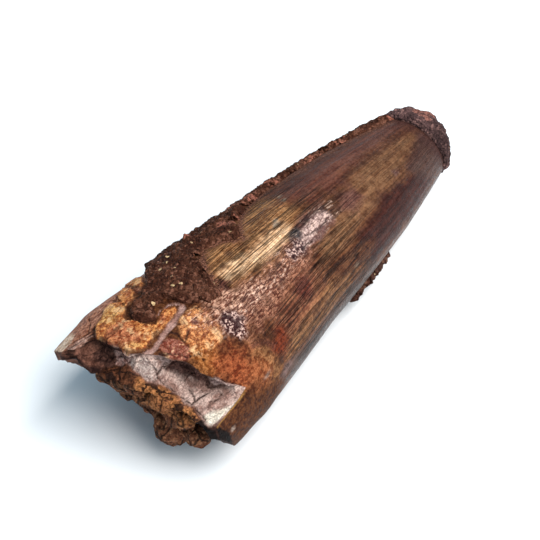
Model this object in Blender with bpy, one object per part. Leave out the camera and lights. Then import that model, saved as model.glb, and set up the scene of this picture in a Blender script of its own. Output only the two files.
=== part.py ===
"""A fossil spinosaurus tooth, lying on its side as it rests on a table.

The tooth is one solid: an enamel crown that tapers to a broken tip, and a stump of root that has
snapped off along a slanting, chipped edge. Rust-brown desert sandstone still sticks to it, and each
lump of that rock is a solid of its own: the plug in the pulp cavity, the crust along one side, the
cap on the broken tip and a thin skin low on the other side.

Frame: the tooth runs along +X from root to tip, +Y is the crusted side and +Z is up. The origin is on
the surface that the tooth rests on, under the middle of its bounding box. The shape functions use the
tooth's own measures: `along` is the distance from the root section, in millimetres, and `around` is
the angle about the tooth's axis, in degrees, from +Y (0) over the top (90) to -Y (180) and the
underside (270).
"""

import math

import bmesh
import bpy
from mathutils import Vector, noise

MM = 0.001

# Driving dimensions, in millimetres
CROWN_LENGTH = 71.0  # root section to the broken tip
ROOT_HALF_WIDTH = 15.1
TIP_HALF_WIDTH = 8.0
TAPER_POWER = 1.7
THICKNESS_RATIO = 0.78  # height over width of a section
REST_FLAT_DEPTH = 0.35  # how much of the round underside is worn level
BOND_GAP = 0.3  # between the tooth and the sandstone on it
CENTRE_ALONG = 33.35  # the origin, from the root section
CENTRE_ACROSS = -0.3

# How much wider or narrower than the plain taper each side is: (along, +Y side, -Y side)
SIDE_TRIM = (
    (-9.0, -0.9, -0.6),
    (0.0, 0.1, 0.4),
    (6.0, -0.5, 0.7),
    (14.0, -1.4, 0.3),
    (28.0, -2.0, -0.3),
    (42.0, -1.8, 0.1),
    (54.0, -1.4, 0.3),
    (71.0, -1.3, -0.2),
)

# Relief: fine lengthwise ridges on the enamel, and an uneven root
RIDGES = 32
RIDGE_HEIGHT = 0.06
ENAMEL_START = 9.0
ENAMEL_FADE = 6.0
ROOT_RELIEF = 0.22
ROOT_RELIEF_SIZE = 5.0

# Resolution of the tooth
SECTION_SEGMENTS = 96
CROWN_RINGS = 22
END_RINGS = ("cliff", "fracture", "mouth", "floor")
CLIFF_LEAN = 0.25  # how far the drop at the rim leans out, of the way to the end

# The broken root, by angle: (around, rim, step, end, depth). The sound surface stops at `rim` along
# the tooth and drops by `step`. The fracture face slopes on to `end`, where it is `depth` below it.
ROOT_BREAK = (
    (-30, -0.6, 0.3, -0.9, 1.4),
    (-15, -2.6, 0.3, -3.0, 1.4),
    (0, -4.6, 0.3, -5.2, 1.4),
    (15, -6.4, 0.3, -7.0, 1.3),
    (30, -8.2, 0.3, -8.7, 1.3),
    (46, -9.2, 0.3, -9.6, 1.3),
    (56, -8.6, 0.5, -9.3, 2.0),
    (63, -5.8, 2.2, -8.8, 4.0),
    (76, -5.2, 2.6, -8.2, 4.4),
    (90, -5.6, 2.0, -7.6, 4.8),
    (97, -4.6, 1.0, -7.4, 4.7),
    (106, -3.2, 0.8, -6.8, 4.9),
    (118, -1.6, 1.0, -6.1, 5.2),
    (132, -0.9, 1.2, -5.7, 5.4),
    (145, 0.8, 0.8, -5.3, 4.2),
    (154, 3.2, 0.3, -5.0, 2.7),
    (161, -4.2, 0.3, -5.2, 1.4),
    (172, -4.5, 0.3, -5.1, 1.2),
    (186, -2.6, 0.3, -3.2, 1.1),
    (202, -0.6, 0.3, -1.2, 1.1),
    (216, 1.0, 0.3, 0.4, 1.2),
    (232, 1.9, 0.3, 1.3, 1.4),
    (270, 2.2, 0.3, 1.6, 1.6),
    (305, 0.9, 0.3, 0.4, 1.4),
)

# The pulp cavity, a blunt cone that the sandstone fills. Its mouth lies in a slanting plane.
CAVITY_MOUTH_SHARE = 0.56
CAVITY_FLOOR_SHARE = 0.40
CAVITY_FLOOR_ALONG = 6.5
MOUTH_TOP_ALONG = -6.0
MOUTH_TOP_UP = 18.4
MOUTH_SLANT = 0.68
PLUG_SPARE = 1.12  # the plug is modelled wider than the cavity, then trimmed to it

# Nodules of the sandstone in the root: (along, across, up, radius)
ROOT_NODULES = (
    (-3.0, -5.8, 7.9, 3.0),
    (-2.9, -10.3, 9.2, 2.0),
    (-2.5, 7.2, 10.6, 2.2),
    (-1.8, 4.0, 8.8, 2.2),
    (-0.9, 1.8, 6.9, 2.2),
    (-2.3, -2.2, 9.6, 2.4),
    (-3.8, -1.4, 13.5, 2.4),
    (-3.6, 3.2, 13.0, 2.5),
    (-3.3, -6.2, 12.4, 2.5),
    (-4.8, -5.2, 15.8, 2.0),
    (-4.0, -8.4, 13.4, 1.9),
    (-4.9, -0.4, 16.4, 1.9),
)
NODULE_RELIEF = 0.35
NODULE_RELIEF_SIZE = 2.4
NODULE_VOXEL = 1.2

# The crust on the +Y side: (along, lower angle, upper angle, thickness)
FLANK_CRUST = (
    (0.4, 73, 80, 0.5),
    (3.0, 67, 86, 0.7),
    (6.5, 60, 98, 0.75),
    (9.5, 50, 102, 0.75),
    (12.5, 30, 95, 0.75),
    (15.0, 12, 82, 0.75),
    (18.0, -4, 74, 0.75),
    (21.5, -14, 83, 0.75),
    (25.0, -20, 79, 0.75),
    (29.0, -24, 64, 0.8),
    (36.0, -26, 54, 0.75),
    (45.0, -24, 48, 0.65),
    (55.0, -20, 44, 0.55),
    (63.0, -14, 43, 0.55),
    (68.0, -8, 46, 0.6),
    (70.2, 0, 50, 0.6),
)
FLANK_ROWS = 44
FLANK_COLUMNS = 10

# The skin of rock low on the -Y side, in the same terms
UNDER_CRUST = (
    (35.5, 207, 216, 0.4),
    (37.5, 200, 226, 0.6),
    (41.0, 201, 234, 0.65),
    (44.5, 203, 232, 0.6),
    (48.0, 207, 222, 0.5),
    (49.5, 211, 216, 0.4),
)
UNDER_ROWS = 16
UNDER_COLUMNS = 7

CRUST_EDGE = 0.35  # thickness of a crust's rim
CRUST_EDGE_SHARE = 0.2  # of its width, over which it reaches full thickness
CRUST_RELIEF = 0.3
CRUST_RELIEF_SIZE = 3.0

# The rock cap on the broken tip: rings of (share of its length, share of its width)
CAP_LENGTH = 4.1
CAP_OVERHANG = 0.25
CAP_LEAN = 0.7  # added to the overhang towards CAP_LEAN_AROUND, and taken off opposite
CAP_LEAN_AROUND = 85.0
CAP_RINGS = ((0.0, 0.90), (0.12, 1.0), (0.45, 0.99), (0.8, 0.86), (1.0, 0.52))
CAP_SEGMENTS = 36
CAP_RELIEF = 0.45
CAP_RELIEF_SIZE = 2.6
CAP_CLEAR_OF_FLOOR = 0.3


def smoothstep(low, high, value):
    share = min(max((value - low) / (high - low), 0.0), 1.0)
    return share * share * (3.0 - 2.0 * share)


def between(rows, value, column):
    """One column of rows sorted by their first entry, along straight lines between them."""
    if value <= rows[0][0]:
        return rows[0][column]
    for first, second in zip(rows, rows[1:]):
        if value <= second[0]:
            share = (value - first[0]) / (second[0] - first[0])
            return first[column] + (second[column] - first[column]) * share
    return rows[-1][column]


def break_at(around):
    """The rim, step, end and depth of the broken root at an angle."""
    first = ROOT_BREAK[0]
    closed = ROOT_BREAK + ((first[0] + 360, *first[1:]),)
    turned = (around - first[0]) % 360 + first[0]
    return [between(closed, turned, column) for column in (1, 2, 3, 4)]


def half_width(along):
    share = max(along, 0.0) / CROWN_LENGTH
    return ROOT_HALF_WIDTH - (ROOT_HALF_WIDTH - TIP_HALF_WIDTH) * share**TAPER_POWER


def place(along, across, up):
    """World position, in metres, of a point in the tooth's own millimetres."""
    return Vector((along - CENTRE_ALONG, across - CENTRE_ACROSS, up - REST_FLAT_DEPTH)) * MM


def skin(along, around, height=0.0, share=1.0):
    """A point of a section, `height` above its outline, which is first scaled to `share`."""
    turn = math.radians(around)
    side = 1 if math.cos(turn) > 0 else 2
    width = half_width(along) + between(SIDE_TRIM, along, side)
    thickness = half_width(along) * THICKNESS_RATIO
    across = (width * share + height) * math.cos(turn)
    up = thickness + (thickness * share + height) * math.sin(turn)
    return place(along, across, up)


def relief(along, around):
    """Height of the enamel's ridges on the crown and of the uneven bone on the root."""
    enamel = smoothstep(ENAMEL_START - ENAMEL_FADE, ENAMEL_START + ENAMEL_FADE, along)
    ridge = RIDGE_HEIGHT * math.cos(math.radians(around) * RIDGES)
    bone = ROOT_RELIEF * noise.noise(skin(along, around) / (ROOT_RELIEF_SIZE * MM))
    return enamel * ridge + (1.0 - enamel) * bone


def face_outwards(bm):
    bmesh.ops.recalc_face_normals(bm, faces=bm.faces)
    if bm.calc_volume(signed=True) < 0:
        bmesh.ops.reverse_faces(bm, faces=bm.faces)
    bm.normal_update()


def new_object(name, bm, material):
    """An object whose faces all point out, shaded smooth but for its sharp edges."""
    face_outwards(bm)
    mesh = bpy.data.meshes.new(name)
    bm.to_mesh(mesh)
    bm.free()
    mesh.materials.append(material)
    mesh.shade_smooth()
    mesh.set_sharp_from_angle(angle=math.radians(35))
    obj = bpy.data.objects.new(name, mesh)
    bpy.context.scene.collection.objects.link(obj)
    return obj


def new_material(name, colour, roughness):
    material = bpy.data.materials.new(name)
    material.use_nodes = True
    shader = material.node_tree.nodes["Principled BSDF"]
    shader.inputs["Base Color"].default_value = (*colour, 1.0)
    shader.inputs["Roughness"].default_value = roughness
    shader.inputs["Metallic"].default_value = 0.0
    return material


def straight_tube(bm, segments, rings):
    """A closed unit tube, extruded ring by ring, whose vertices hold their angle and their ring as z."""
    bmesh.ops.create_circle(bm, cap_ends=True, segments=segments, radius=1.0)
    edges = bm.edges[:]
    for _ in range(rings - 1):
        grown = bmesh.ops.extrude_edge_only(bm, edges=edges)["geom"]
        verts = [item for item in grown if isinstance(item, bmesh.types.BMVert)]
        bmesh.ops.translate(bm, verts=verts, vec=(0, 0, 1))
        new = set(verts)
        edges = [edge for edge in bm.edges if edge.verts[0] in new and edge.verts[1] in new]
    bmesh.ops.contextual_create(bm, geom=edges)


def angle_and_ring(vert):
    return math.degrees(math.atan2(vert.co.y, vert.co.x)) % 360, round(vert.co.z)


def crown_point(around, share):
    """A point of the sound surface, from the tip (share 0) to the rim of the broken root (1)."""
    rim = break_at(around)[0]
    along = CROWN_LENGTH + (rim - CROWN_LENGTH) * share
    return skin(along, around, relief(along, around))


def onto_mouth(point):
    """Moves a point along the tooth until it lies in the slanting mouth of the pulp cavity."""
    top = place(MOUTH_TOP_ALONG, 0, MOUTH_TOP_UP)
    return Vector((top.x + MOUTH_SLANT * (top.z - point.z), point.y, point.z))


def end_point(around, ring):
    """A point of the broken root: over the fracture face and into the pulp cavity."""
    rim, step, end, depth = break_at(around)
    if ring == "cliff":
        return skin(rim + CLIFF_LEAN * (end - rim), around, -step)
    if ring == "fracture":
        return skin(end, around, -depth)
    if ring == "mouth":
        return onto_mouth(skin(0.0, around, share=CAVITY_MOUTH_SHARE))
    return skin(CAVITY_FLOOR_ALONG, around, share=CAVITY_FLOOR_SHARE)


def tooth_mesh():
    bm = bmesh.new()
    straight_tube(bm, SECTION_SEGMENTS, CROWN_RINGS + 1 + len(END_RINGS))
    for vert in bm.verts:
        around, ring = angle_and_ring(vert)
        if ring <= CROWN_RINGS:
            vert.co = crown_point(around, ring / CROWN_RINGS)
        else:
            vert.co = end_point(around, END_RINGS[ring - CROWN_RINGS - 1])
    return bm


def wear_level(bm):
    """Cuts the underside off at the surface that the tooth rests on."""
    everything = bm.verts[:] + bm.edges[:] + bm.faces[:]
    cut = bmesh.ops.bisect_plane(
        bm, geom=everything, dist=1e-6, plane_co=(0, 0, 0), plane_no=(0, 0, -1), clear_outer=True
    )
    rim = [item for item in cut["geom_cut"] if isinstance(item, bmesh.types.BMEdge)]
    bmesh.ops.contextual_create(bm, geom=rim)


def make_tooth():
    bm = tooth_mesh()
    wear_level(bm)
    return new_object("tooth", bm, new_material("fossil_enamel", (0.24, 0.12, 0.06), 0.35))


def make_tooth_cutter():
    """The tooth, grown by the bond gap, which trims the sandstone in its root."""
    bm = tooth_mesh()
    face_outwards(bm)
    moves = [vert.normal * vert.calc_shell_factor() * BOND_GAP * MM for vert in bm.verts]
    for vert, move in zip(bm.verts, moves):
        vert.co += move
    cutter = new_object("tooth_cutter", bm, None)
    cutter.hide_render = True
    cutter.display_type = "WIRE"
    return cutter


def roughen(bm, height, size):
    """Moves every vertex along its normal by smooth noise."""
    bm.normal_update()
    for vert in bm.verts:
        vert.co += vert.normal * noise.noise(vert.co / (size * MM)) * height * MM


def add_plug(bm):
    """A tapered plug for the mouth of the pulp cavity, its outer end slanted like the mouth."""
    plug = bmesh.ops.create_cone(
        bm,
        cap_ends=True,
        segments=24,
        radius1=CAVITY_MOUTH_SHARE * PLUG_SPARE,
        radius2=CAVITY_FLOOR_SHARE * PLUG_SPARE,
        depth=1.0,
    )["verts"]
    for vert in plug:
        around = math.degrees(math.atan2(vert.co.y, vert.co.x))
        share = math.hypot(vert.co.x, vert.co.y)
        outer = vert.co.z < 0
        vert.co = skin(CAVITY_FLOOR_ALONG, around, share=share)
        if outer:
            vert.co = onto_mouth(skin(0.0, around, share=share))


def make_root_sandstone(cutter):
    bm = bmesh.new()
    add_plug(bm)
    for along, across, up, radius in ROOT_NODULES:
        nodule = bmesh.ops.create_icosphere(bm, subdivisions=3, radius=radius * MM)["verts"]
        bmesh.ops.translate(bm, verts=nodule, vec=place(along, across, up))
    roughen(bm, NODULE_RELIEF, NODULE_RELIEF_SIZE)
    rock = new_object("root_sandstone", bm, new_material("knobbly_rock", (0.19, 0.07, 0.025), 0.9))
    merge = rock.modifiers.new("merge_nodules", "REMESH")
    merge.mode = "VOXEL"
    merge.voxel_size = NODULE_VOXEL * MM
    trim = rock.modifiers.new("trim_to_tooth", "BOOLEAN")
    trim.operation = "DIFFERENCE"
    trim.solver = "EXACT"
    trim.use_self = True
    trim.object = cutter
    return rock


def crust_point(rows, row_share, column_share, outside):
    """A point of a crust, on its weathered face or on the side bonded to the tooth."""
    along = rows[0][0] + (rows[-1][0] - rows[0][0]) * row_share
    low, high, thickness = (between(rows, along, column) for column in (1, 2, 3))
    around = low + (high - low) * column_share
    bond = BOND_GAP + relief(along, around)
    if not outside:
        return skin(along, around, bond)
    lump = CRUST_RELIEF * noise.noise(skin(along, around) / (CRUST_RELIEF_SIZE * MM))
    from_edge = min(column_share, 1 - column_share, 3 * row_share, 3 * (1 - row_share))
    swell = smoothstep(0.0, CRUST_EDGE_SHARE, from_edge)
    return skin(along, around, bond + CRUST_EDGE + (thickness + lump - CRUST_EDGE) * swell)


def make_crust(name, rows, row_count, column_count, material):
    """A flat grid, extruded once into a slab, then laid on the tooth."""
    bm = bmesh.new()
    bmesh.ops.create_grid(bm, x_segments=column_count - 1, y_segments=row_count - 1, size=1.0)
    face = bmesh.ops.extrude_face_region(bm, geom=bm.faces[:])["geom"]
    face_verts = [item for item in face if isinstance(item, bmesh.types.BMVert)]
    bmesh.ops.translate(bm, verts=face_verts, vec=(0, 0, 1))
    for vert in bm.verts:
        column_share, row_share = (vert.co.x + 1) / 2, (vert.co.y + 1) / 2
        vert.co = crust_point(rows, row_share, column_share, vert.co.z > 0.5)
    return new_object(name, bm, material)


def cap_point(around, ring):
    """A point of the tip's cap, which steps out over the broken edge and closes in a rough dome."""
    length_share, width_share = CAP_RINGS[ring]
    overhang = CAP_OVERHANG + CAP_LEAN * math.cos(math.radians(around - CAP_LEAN_AROUND))
    at = skin(CROWN_LENGTH, around, overhang, width_share)
    lump = 1.0 + CAP_RELIEF * noise.noise(at / (CAP_RELIEF_SIZE * MM)) * length_share
    at.x += (BOND_GAP + CAP_LENGTH * length_share * lump) * MM
    at.z = max(at.z, CAP_CLEAR_OF_FLOOR * MM)
    return at


def make_tip_sandstone(material):
    bm = bmesh.new()
    straight_tube(bm, CAP_SEGMENTS, len(CAP_RINGS))
    for vert in bm.verts:
        vert.co = cap_point(*angle_and_ring(vert))
    return new_object("tip_sandstone", bm, material)


def main():
    for obj in list(bpy.data.objects):
        bpy.data.objects.remove(obj)
    make_tooth()
    make_root_sandstone(make_tooth_cutter())
    crust = new_material("dark_crust", (0.09, 0.045, 0.03), 0.9)
    make_crust("flank_sandstone", FLANK_CRUST, FLANK_ROWS, FLANK_COLUMNS, crust)
    skin_of_rock = new_material("thin_crust", (0.07, 0.035, 0.025), 0.9)
    make_crust("underside_sandstone", UNDER_CRUST, UNDER_ROWS, UNDER_COLUMNS, skin_of_rock)
    make_tip_sandstone(new_material("cap_rock", (0.15, 0.06, 0.035), 0.9))


main()
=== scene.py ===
import math
from types import SimpleNamespace

import bmesh
import bpy
import numpy as np
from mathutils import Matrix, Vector, noise


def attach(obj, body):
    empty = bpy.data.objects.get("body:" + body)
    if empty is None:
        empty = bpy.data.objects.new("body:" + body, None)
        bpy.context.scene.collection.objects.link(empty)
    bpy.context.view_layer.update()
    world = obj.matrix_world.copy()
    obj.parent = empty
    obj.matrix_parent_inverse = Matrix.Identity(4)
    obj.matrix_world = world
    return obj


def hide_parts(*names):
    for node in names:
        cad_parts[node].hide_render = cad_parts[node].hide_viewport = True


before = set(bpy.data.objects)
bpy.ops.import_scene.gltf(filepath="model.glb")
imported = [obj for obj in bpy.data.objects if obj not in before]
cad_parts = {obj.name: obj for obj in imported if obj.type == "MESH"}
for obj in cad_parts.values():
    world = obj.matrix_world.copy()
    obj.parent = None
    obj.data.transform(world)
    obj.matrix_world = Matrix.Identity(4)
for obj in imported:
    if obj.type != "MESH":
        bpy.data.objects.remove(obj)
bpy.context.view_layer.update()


# ------------------------------------------------------------------------------------------ tooth
# A cone of dentine under a skin of enamel, turned to stone. The enamel is fluted and streaked, and
# the root bare and patchy. The root's end has snapped off along a slanting, chipped break that
# shows the pale dentine and the hollow that held the pulp.

# The CAD's own shape, in mm and degrees: `along` runs from the root section to the tip, and
# `around` from the +Y side (0) over the top (90) to the -Y side (180)
MM = 0.001
CROWN_LENGTH = 71.0
ROOT_HALF_WIDTH = 15.1
TIP_HALF_WIDTH = 8.0
TAPER_POWER = 1.7
THICKNESS_RATIO = 0.78
REST_FLAT_DEPTH = 0.35
CENTRE_ALONG = 33.35
CENTRE_ACROSS = -0.3
SIDE_TRIM = np.array((  # along, and how much wider the +Y side and the -Y side are
    (-9.0, -0.9, -0.6), (0.0, 0.1, 0.4), (6.0, -0.5, 0.7), (14.0, -1.4, 0.3), (28.0, -2.0, -0.3),
    (42.0, -1.8, 0.1), (54.0, -1.4, 0.3), (71.0, -1.3, -0.2),
))
ROOT_BREAK = np.array((  # around, and in mm: rim, step, end and depth
    (-30, -0.6, 0.3, -0.9, 1.4), (-15, -2.6, 0.3, -3.0, 1.4), (0, -4.6, 0.3, -5.2, 1.4),
    (15, -6.4, 0.3, -7.0, 1.3), (30, -8.2, 0.3, -8.7, 1.3), (46, -9.2, 0.3, -9.6, 1.3),
    (56, -8.6, 0.5, -9.3, 2.0), (63, -5.8, 2.2, -8.8, 4.0), (76, -5.2, 2.6, -8.2, 4.4),
    (90, -5.6, 2.0, -7.6, 4.8), (97, -4.6, 1.0, -7.4, 4.7), (106, -3.2, 0.8, -6.8, 4.9),
    (118, -1.6, 1.0, -6.1, 5.2), (132, -0.9, 1.2, -5.7, 5.4), (145, 0.8, 0.8, -5.3, 4.2),
    (154, 3.2, 0.3, -5.0, 2.7), (161, -4.2, 0.3, -5.2, 1.4), (172, -4.5, 0.3, -5.1, 1.2),
    (186, -2.6, 0.3, -3.2, 1.1), (202, -0.6, 0.3, -1.2, 1.1), (216, 1.0, 0.3, 0.4, 1.2),
    (232, 1.9, 0.3, 1.3, 1.4), (270, 2.2, 0.3, 1.6, 1.6), (305, 0.9, 0.3, 0.4, 1.4),
))
RIM, STEP, END, DEPTH = range(1, 5)  # the columns of ROOT_BREAK
CAVITY_MOUTH_SHARE = 0.56
CAVITY_FLOOR_SHARE = 0.40
CAVITY_FLOOR_ALONG = 6.5
MOUTH_TOP_ALONG = -6.0
MOUTH_TOP_UP = 18.4
MOUTH_SLANT = 0.68

# The mesh, and the finer shape of the break. A place on the break has a `leg`: the number of the
# part of its profile that it is on, and how far down that part it is.
SEAM = -90.0  # where the mesh closes on itself, under the tooth
SEGMENTS = 400
CROWN_RINGS = 184
BREAK_RINGS = (3, 4, 8, 24, 10, 2)  # legs: rind's edge, step, scar, shelf, wall, into the cavity
RING_CROWDING = 0.35  # how much closer the rings get towards the root
RIND_EDGE = 0.45  # how much of the step is the broken edge of the rind, nearly straight down
RIND_LEAN = 0.2  # how much of the step's lean is in that edge
STEP_LEAN = 0.25  # how far the step leans out, of the way to the end of the break
UNDERCUT_FROM = 1.4  # a step deeper than this begins to be undercut
UNDERCUT_FULL = 2.0
UNDERCUT = 0.9
SCAR = np.array((  # around, and how far the break drops steeply below the step, in mm
    (98, 0.0), (108, 0.5), (114, 1.6), (120, 2.3), (130, 2.2), (137, 1.3), (148, 0.9), (155, 0.0),
))
SCAR_STEEPER = 0.8  # how much less the step leans above the scar
SCAR_LEAN = 0.3  # how far the scar leans out, of its depth
RIM_LUMPS = ((0.35, 1.7, 3.0), (0.18, 0.6, 5.0))  # height and size in mm, and seed
EDGE_LUMPS = ((0.7, 2.2, 11.0), (0.35, 0.8, 12.0))  # how ragged the edge of a patch is
FAR = 99.0  # mm, further than any two places on the tooth


def smoothstep(low, high, value):
    share = np.clip((value - low) / (high - low), 0.0, 1.0)
    return share * share * (3.0 - 2.0 * share)


def falloff(low, high, value):
    return 1.0 - smoothstep(low, high, value)


def plateau(value, start, full, fade, stop):
    """1 from `full` to `fade`, and 0 before `start` and after `stop`."""
    return smoothstep(start, full, value) * falloff(fade, stop, value)


def half_width(along):
    share = np.maximum(along, 0.0) / CROWN_LENGTH
    return ROOT_HALF_WIDTH - (ROOT_HALF_WIDTH - TIP_HALF_WIDTH) * share**TAPER_POWER


def degree_mm(along):
    """About how many mm a degree around the tooth is."""
    return math.radians(1) * half_width(along) * (1 + THICKNESS_RATIO) / 2


def skin(along, around, height=0.0, share=1.0):
    """Points, in metres, `height` mm above the outline of a section that is scaled to `share`."""
    turn = np.radians(around)
    wide = half_width(along)
    trim = np.where(
        np.cos(turn) > 0,
        np.interp(along, SIDE_TRIM[:, 0], SIDE_TRIM[:, 1]),
        np.interp(along, SIDE_TRIM[:, 0], SIDE_TRIM[:, 2]),
    )
    thick = wide * THICKNESS_RATIO
    across = ((wide + trim) * share + height) * np.cos(turn) - CENTRE_ACROSS
    up = thick + (thick * share + height) * np.sin(turn) - REST_FLAT_DEPTH
    return np.stack(np.broadcast_arrays(along - CENTRE_ALONG, across, up), axis=-1) * MM


def break_at(around, column):
    return np.interp(around, ROOT_BREAK[:, 0], ROOT_BREAK[:, column], period=360)


def in_mouth(points):
    """Moves points along the tooth until they lie in the slanting mouth of the pulp cavity."""
    top = skin(MOUTH_TOP_ALONG, 90.0)
    top_up = (MOUTH_TOP_UP - REST_FLAT_DEPTH) * MM
    points[..., 0] = top[0] + MOUTH_SLANT * (top_up - points[..., 2])
    return points


def noise_at(points, size, seed=0.0):
    """Smooth noise, from -1 to 1, whose lumps are about `size` mm apart."""
    shift = Vector((seed, 2.3 * seed, -1.7 * seed))
    return np.array([noise.noise(Vector(point) + shift) for point in points / (size * MM)])


def lumpy(points, lumps):
    """Smooth lumps of several sizes added up, each (height, size in mm, seed)."""
    return sum(height * noise_at(points, size, seed) for height, size, seed in lumps)


def straight_tube(segments, rings):
    """A closed unit tube. A vertex's angle and its z, in rings, say which one it is."""
    bm = bmesh.new()
    bmesh.ops.create_grid(bm, x_segments=segments, y_segments=rings - 1, size=1.0)
    wrap = bm.loops.layers.uv.new("wrap")
    for face in bm.faces:
        for loop in face.loops:
            loop[wrap].uv = ((loop.vert.co.x + 1) / 2, 0.0)
    for vert in bm.verts:
        turn = math.radians(SEAM) + math.pi * (vert.co.x + 1)
        ring = round((vert.co.y + 1) / 2 * (rings - 1))
        vert.co = (math.cos(turn), math.sin(turn), ring)
    bmesh.ops.remove_doubles(bm, verts=bm.verts, dist=1e-4)
    bmesh.ops.holes_fill(bm, edges=[edge for edge in bm.edges if edge.is_boundary], sides=0)
    bmesh.ops.recalc_face_normals(bm, faces=bm.faces)
    return bm


def mesh_points(mesh):
    points = np.empty(len(mesh.vertices) * 3)
    mesh.vertices.foreach_get("co", points)
    return points.reshape(-1, 3)


def move_points(mesh, points):
    mesh.vertices.foreach_set("co", points.ravel())
    mesh.update()


def swell(mesh, heights):
    """Moves every vertex out along its normal by its own height in mm, but not into the floor."""
    normals = np.empty(len(mesh.vertices) * 3)
    mesh.vertex_normals.foreach_get("vector", normals)
    points = mesh_points(mesh) + normals.reshape(-1, 3) * heights[:, None] * MM
    points[:, 2] = np.maximum(points[:, 2], 0.0)
    move_points(mesh, points)


def add_mask(mesh, name, values):
    layer = mesh.attributes.new(name, "FLOAT", "POINT")
    layer.data.foreach_set("value", np.asarray(values, np.float32))


def face_outwards(bm):
    bmesh.ops.recalc_face_normals(bm, faces=bm.faces)
    if bm.calc_volume(signed=True) < 0:
        bmesh.ops.reverse_faces(bm, faces=bm.faces)


def new_piece(name, bm, node):
    """Makes an object of a mesh, which stands for a CAD node and rides with the part."""
    mesh = bpy.data.meshes.new(name)
    bm.to_mesh(mesh)
    bm.free()
    mesh.shade_smooth()
    piece = bpy.data.objects.new(name, mesh)
    bpy.context.scene.collection.objects.link(piece)
    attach(piece, "root")
    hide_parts(node)
    return piece


def turn_out(mesh):
    """Turns a mesh's faces outwards, once its vertices are in place."""
    bm = bmesh.new()
    bm.from_mesh(mesh)
    face_outwards(bm)
    bm.to_mesh(mesh)
    bm.free()


def break_corners(around, rim, end):
    """The corners of the break's profile at each angle, from the rim to the floor of the cavity."""
    step, depth = break_at(around, STEP), break_at(around, DEPTH)
    scar = np.interp(around, SCAR[:, 0], SCAR[:, 1])
    under = UNDERCUT * smoothstep(UNDERCUT_FROM, UNDERCUT_FULL, step)
    out = STEP_LEAN * (end - rim) * (1 - SCAR_STEEPER * smoothstep(0.0, 1.0, scar))
    lean = np.where(under > 0, under, out)
    return [
        skin(rim, around),
        skin(rim + RIND_LEAN * lean, around, -RIND_EDGE * step),
        skin(rim + lean, around, -step),
        skin(rim + lean - SCAR_LEAN * scar, around, -(step + scar)),
        skin(end, around, -depth),
        in_mouth(skin(np.zeros(len(around)), around, share=CAVITY_MOUTH_SHARE)),
        skin(np.full(len(around), CAVITY_FLOOR_ALONG), around, share=CAVITY_FLOOR_SHARE),
    ]


def lay_tooth(mesh):
    """Puts the tube on the tooth. Gives each vertex's along, around and leg."""
    tube = mesh_points(mesh)
    around = (np.degrees(np.arctan2(tube[:, 1], tube[:, 0])) - SEAM + 1e-6) % 360 + SEAM
    ring = np.round(tube[:, 2])
    ragged = lumpy(skin(np.zeros(len(around)), around), RIM_LUMPS)
    rim, end = break_at(around, RIM) + ragged, break_at(around, END) + ragged
    share = ring / CROWN_RINGS
    share = np.minimum(share * (1 + RING_CROWDING - RING_CROWDING * share), 1.0)
    points = skin(CROWN_LENGTH + (rim - CROWN_LENGTH) * share, around)
    corners = break_corners(around, rim, end)
    leg = np.zeros(len(around))
    first = CROWN_RINGS
    for number, count in enumerate(BREAK_RINGS):
        here = (ring > first) & (ring <= first + count)
        part = (ring - first) / count
        way = corners[number + 1] - corners[number]
        points[here] = (corners[number] + way * part[:, None])[here]
        leg[here] = (number + part)[here]
        first += count
    points[:, 2] = np.maximum(points[:, 2], 0.0)
    move_points(mesh, points)
    turn_out(mesh)
    return points[:, 0] / MM + CENTRE_ALONG, around, leg


tooth_tube = straight_tube(SEGMENTS, CROWN_RINGS + sum(BREAK_RINGS) + 1)
tooth = new_piece("tooth_body", tooth_tube, "tooth")
along, around, leg = lay_tooth(tooth.data)
bare_points = mesh_points(tooth.data)
crown = leg == 0
ragged_edge = lumpy(bare_points, EDGE_LUMPS)


def gap_over(line, measure, scale=1.0):
    """Each vertex's distance, in mm, from a line of (measure, around). Scale is mm to a measure."""
    nearest = np.full(len(around), FAR)
    arc = degree_mm(along)
    for (x0, a0), (x1, a1) in zip(line, line[1:]):
        px, py = (measure - x0) * scale, (around - a0) * arc
        dx, dy = (x1 - x0) * scale, (a1 - a0) * arc
        share = np.clip((px * dx + py * dy) / (dx * dx + dy * dy), 0, 1)
        nearest = np.minimum(nearest, np.hypot(px - share * dx, py - share * dy))
    return nearest


def gap_to(line):
    """Each crown vertex's distance, in mm, from a line of (along, around)."""
    return np.where(crown, gap_over(line, along), FAR)


def side_of(outline, measure):
    """1 where a vertex lies inside an outline of (measure, around), and -1 where it doesn't."""
    inside = np.zeros(len(around), bool)
    for (x0, a0), (x1, a1) in zip(outline, outline[1:] + outline[:1]):
        if a0 != a1:
            spans = (a0 > around) != (a1 > around)
            inside ^= spans & (measure < x0 + (around - a0) / (a1 - a0) * (x1 - x0))
    return np.where(inside, 1, -1)


def patch(outlines, soft, ragged):
    """A mask of outlines on the crown, whose edge is so soft and so ragged, in mm."""
    depths = [side_of(outline, along) * gap_to(outline + outline[:1]) for outline in outlines]
    return smoothstep(-soft, soft, np.max(depths, axis=0) + ragged * ragged_edge)


def mark(gap, full, none, ragged):
    """A mask of places near a line: 1 up to one distance and 0 beyond another, in mm, and ragged."""
    return falloff(full, none, gap + ragged * ragged_edge)


def at_break(turned, inward):
    """The point of the break at an angle and a leg, to the nearest vertex."""
    miss = np.abs(around - turned) / 2 + np.abs(leg - inward) * 8
    return bare_points[np.argmin(np.where(crown, FAR, miss))]


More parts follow.
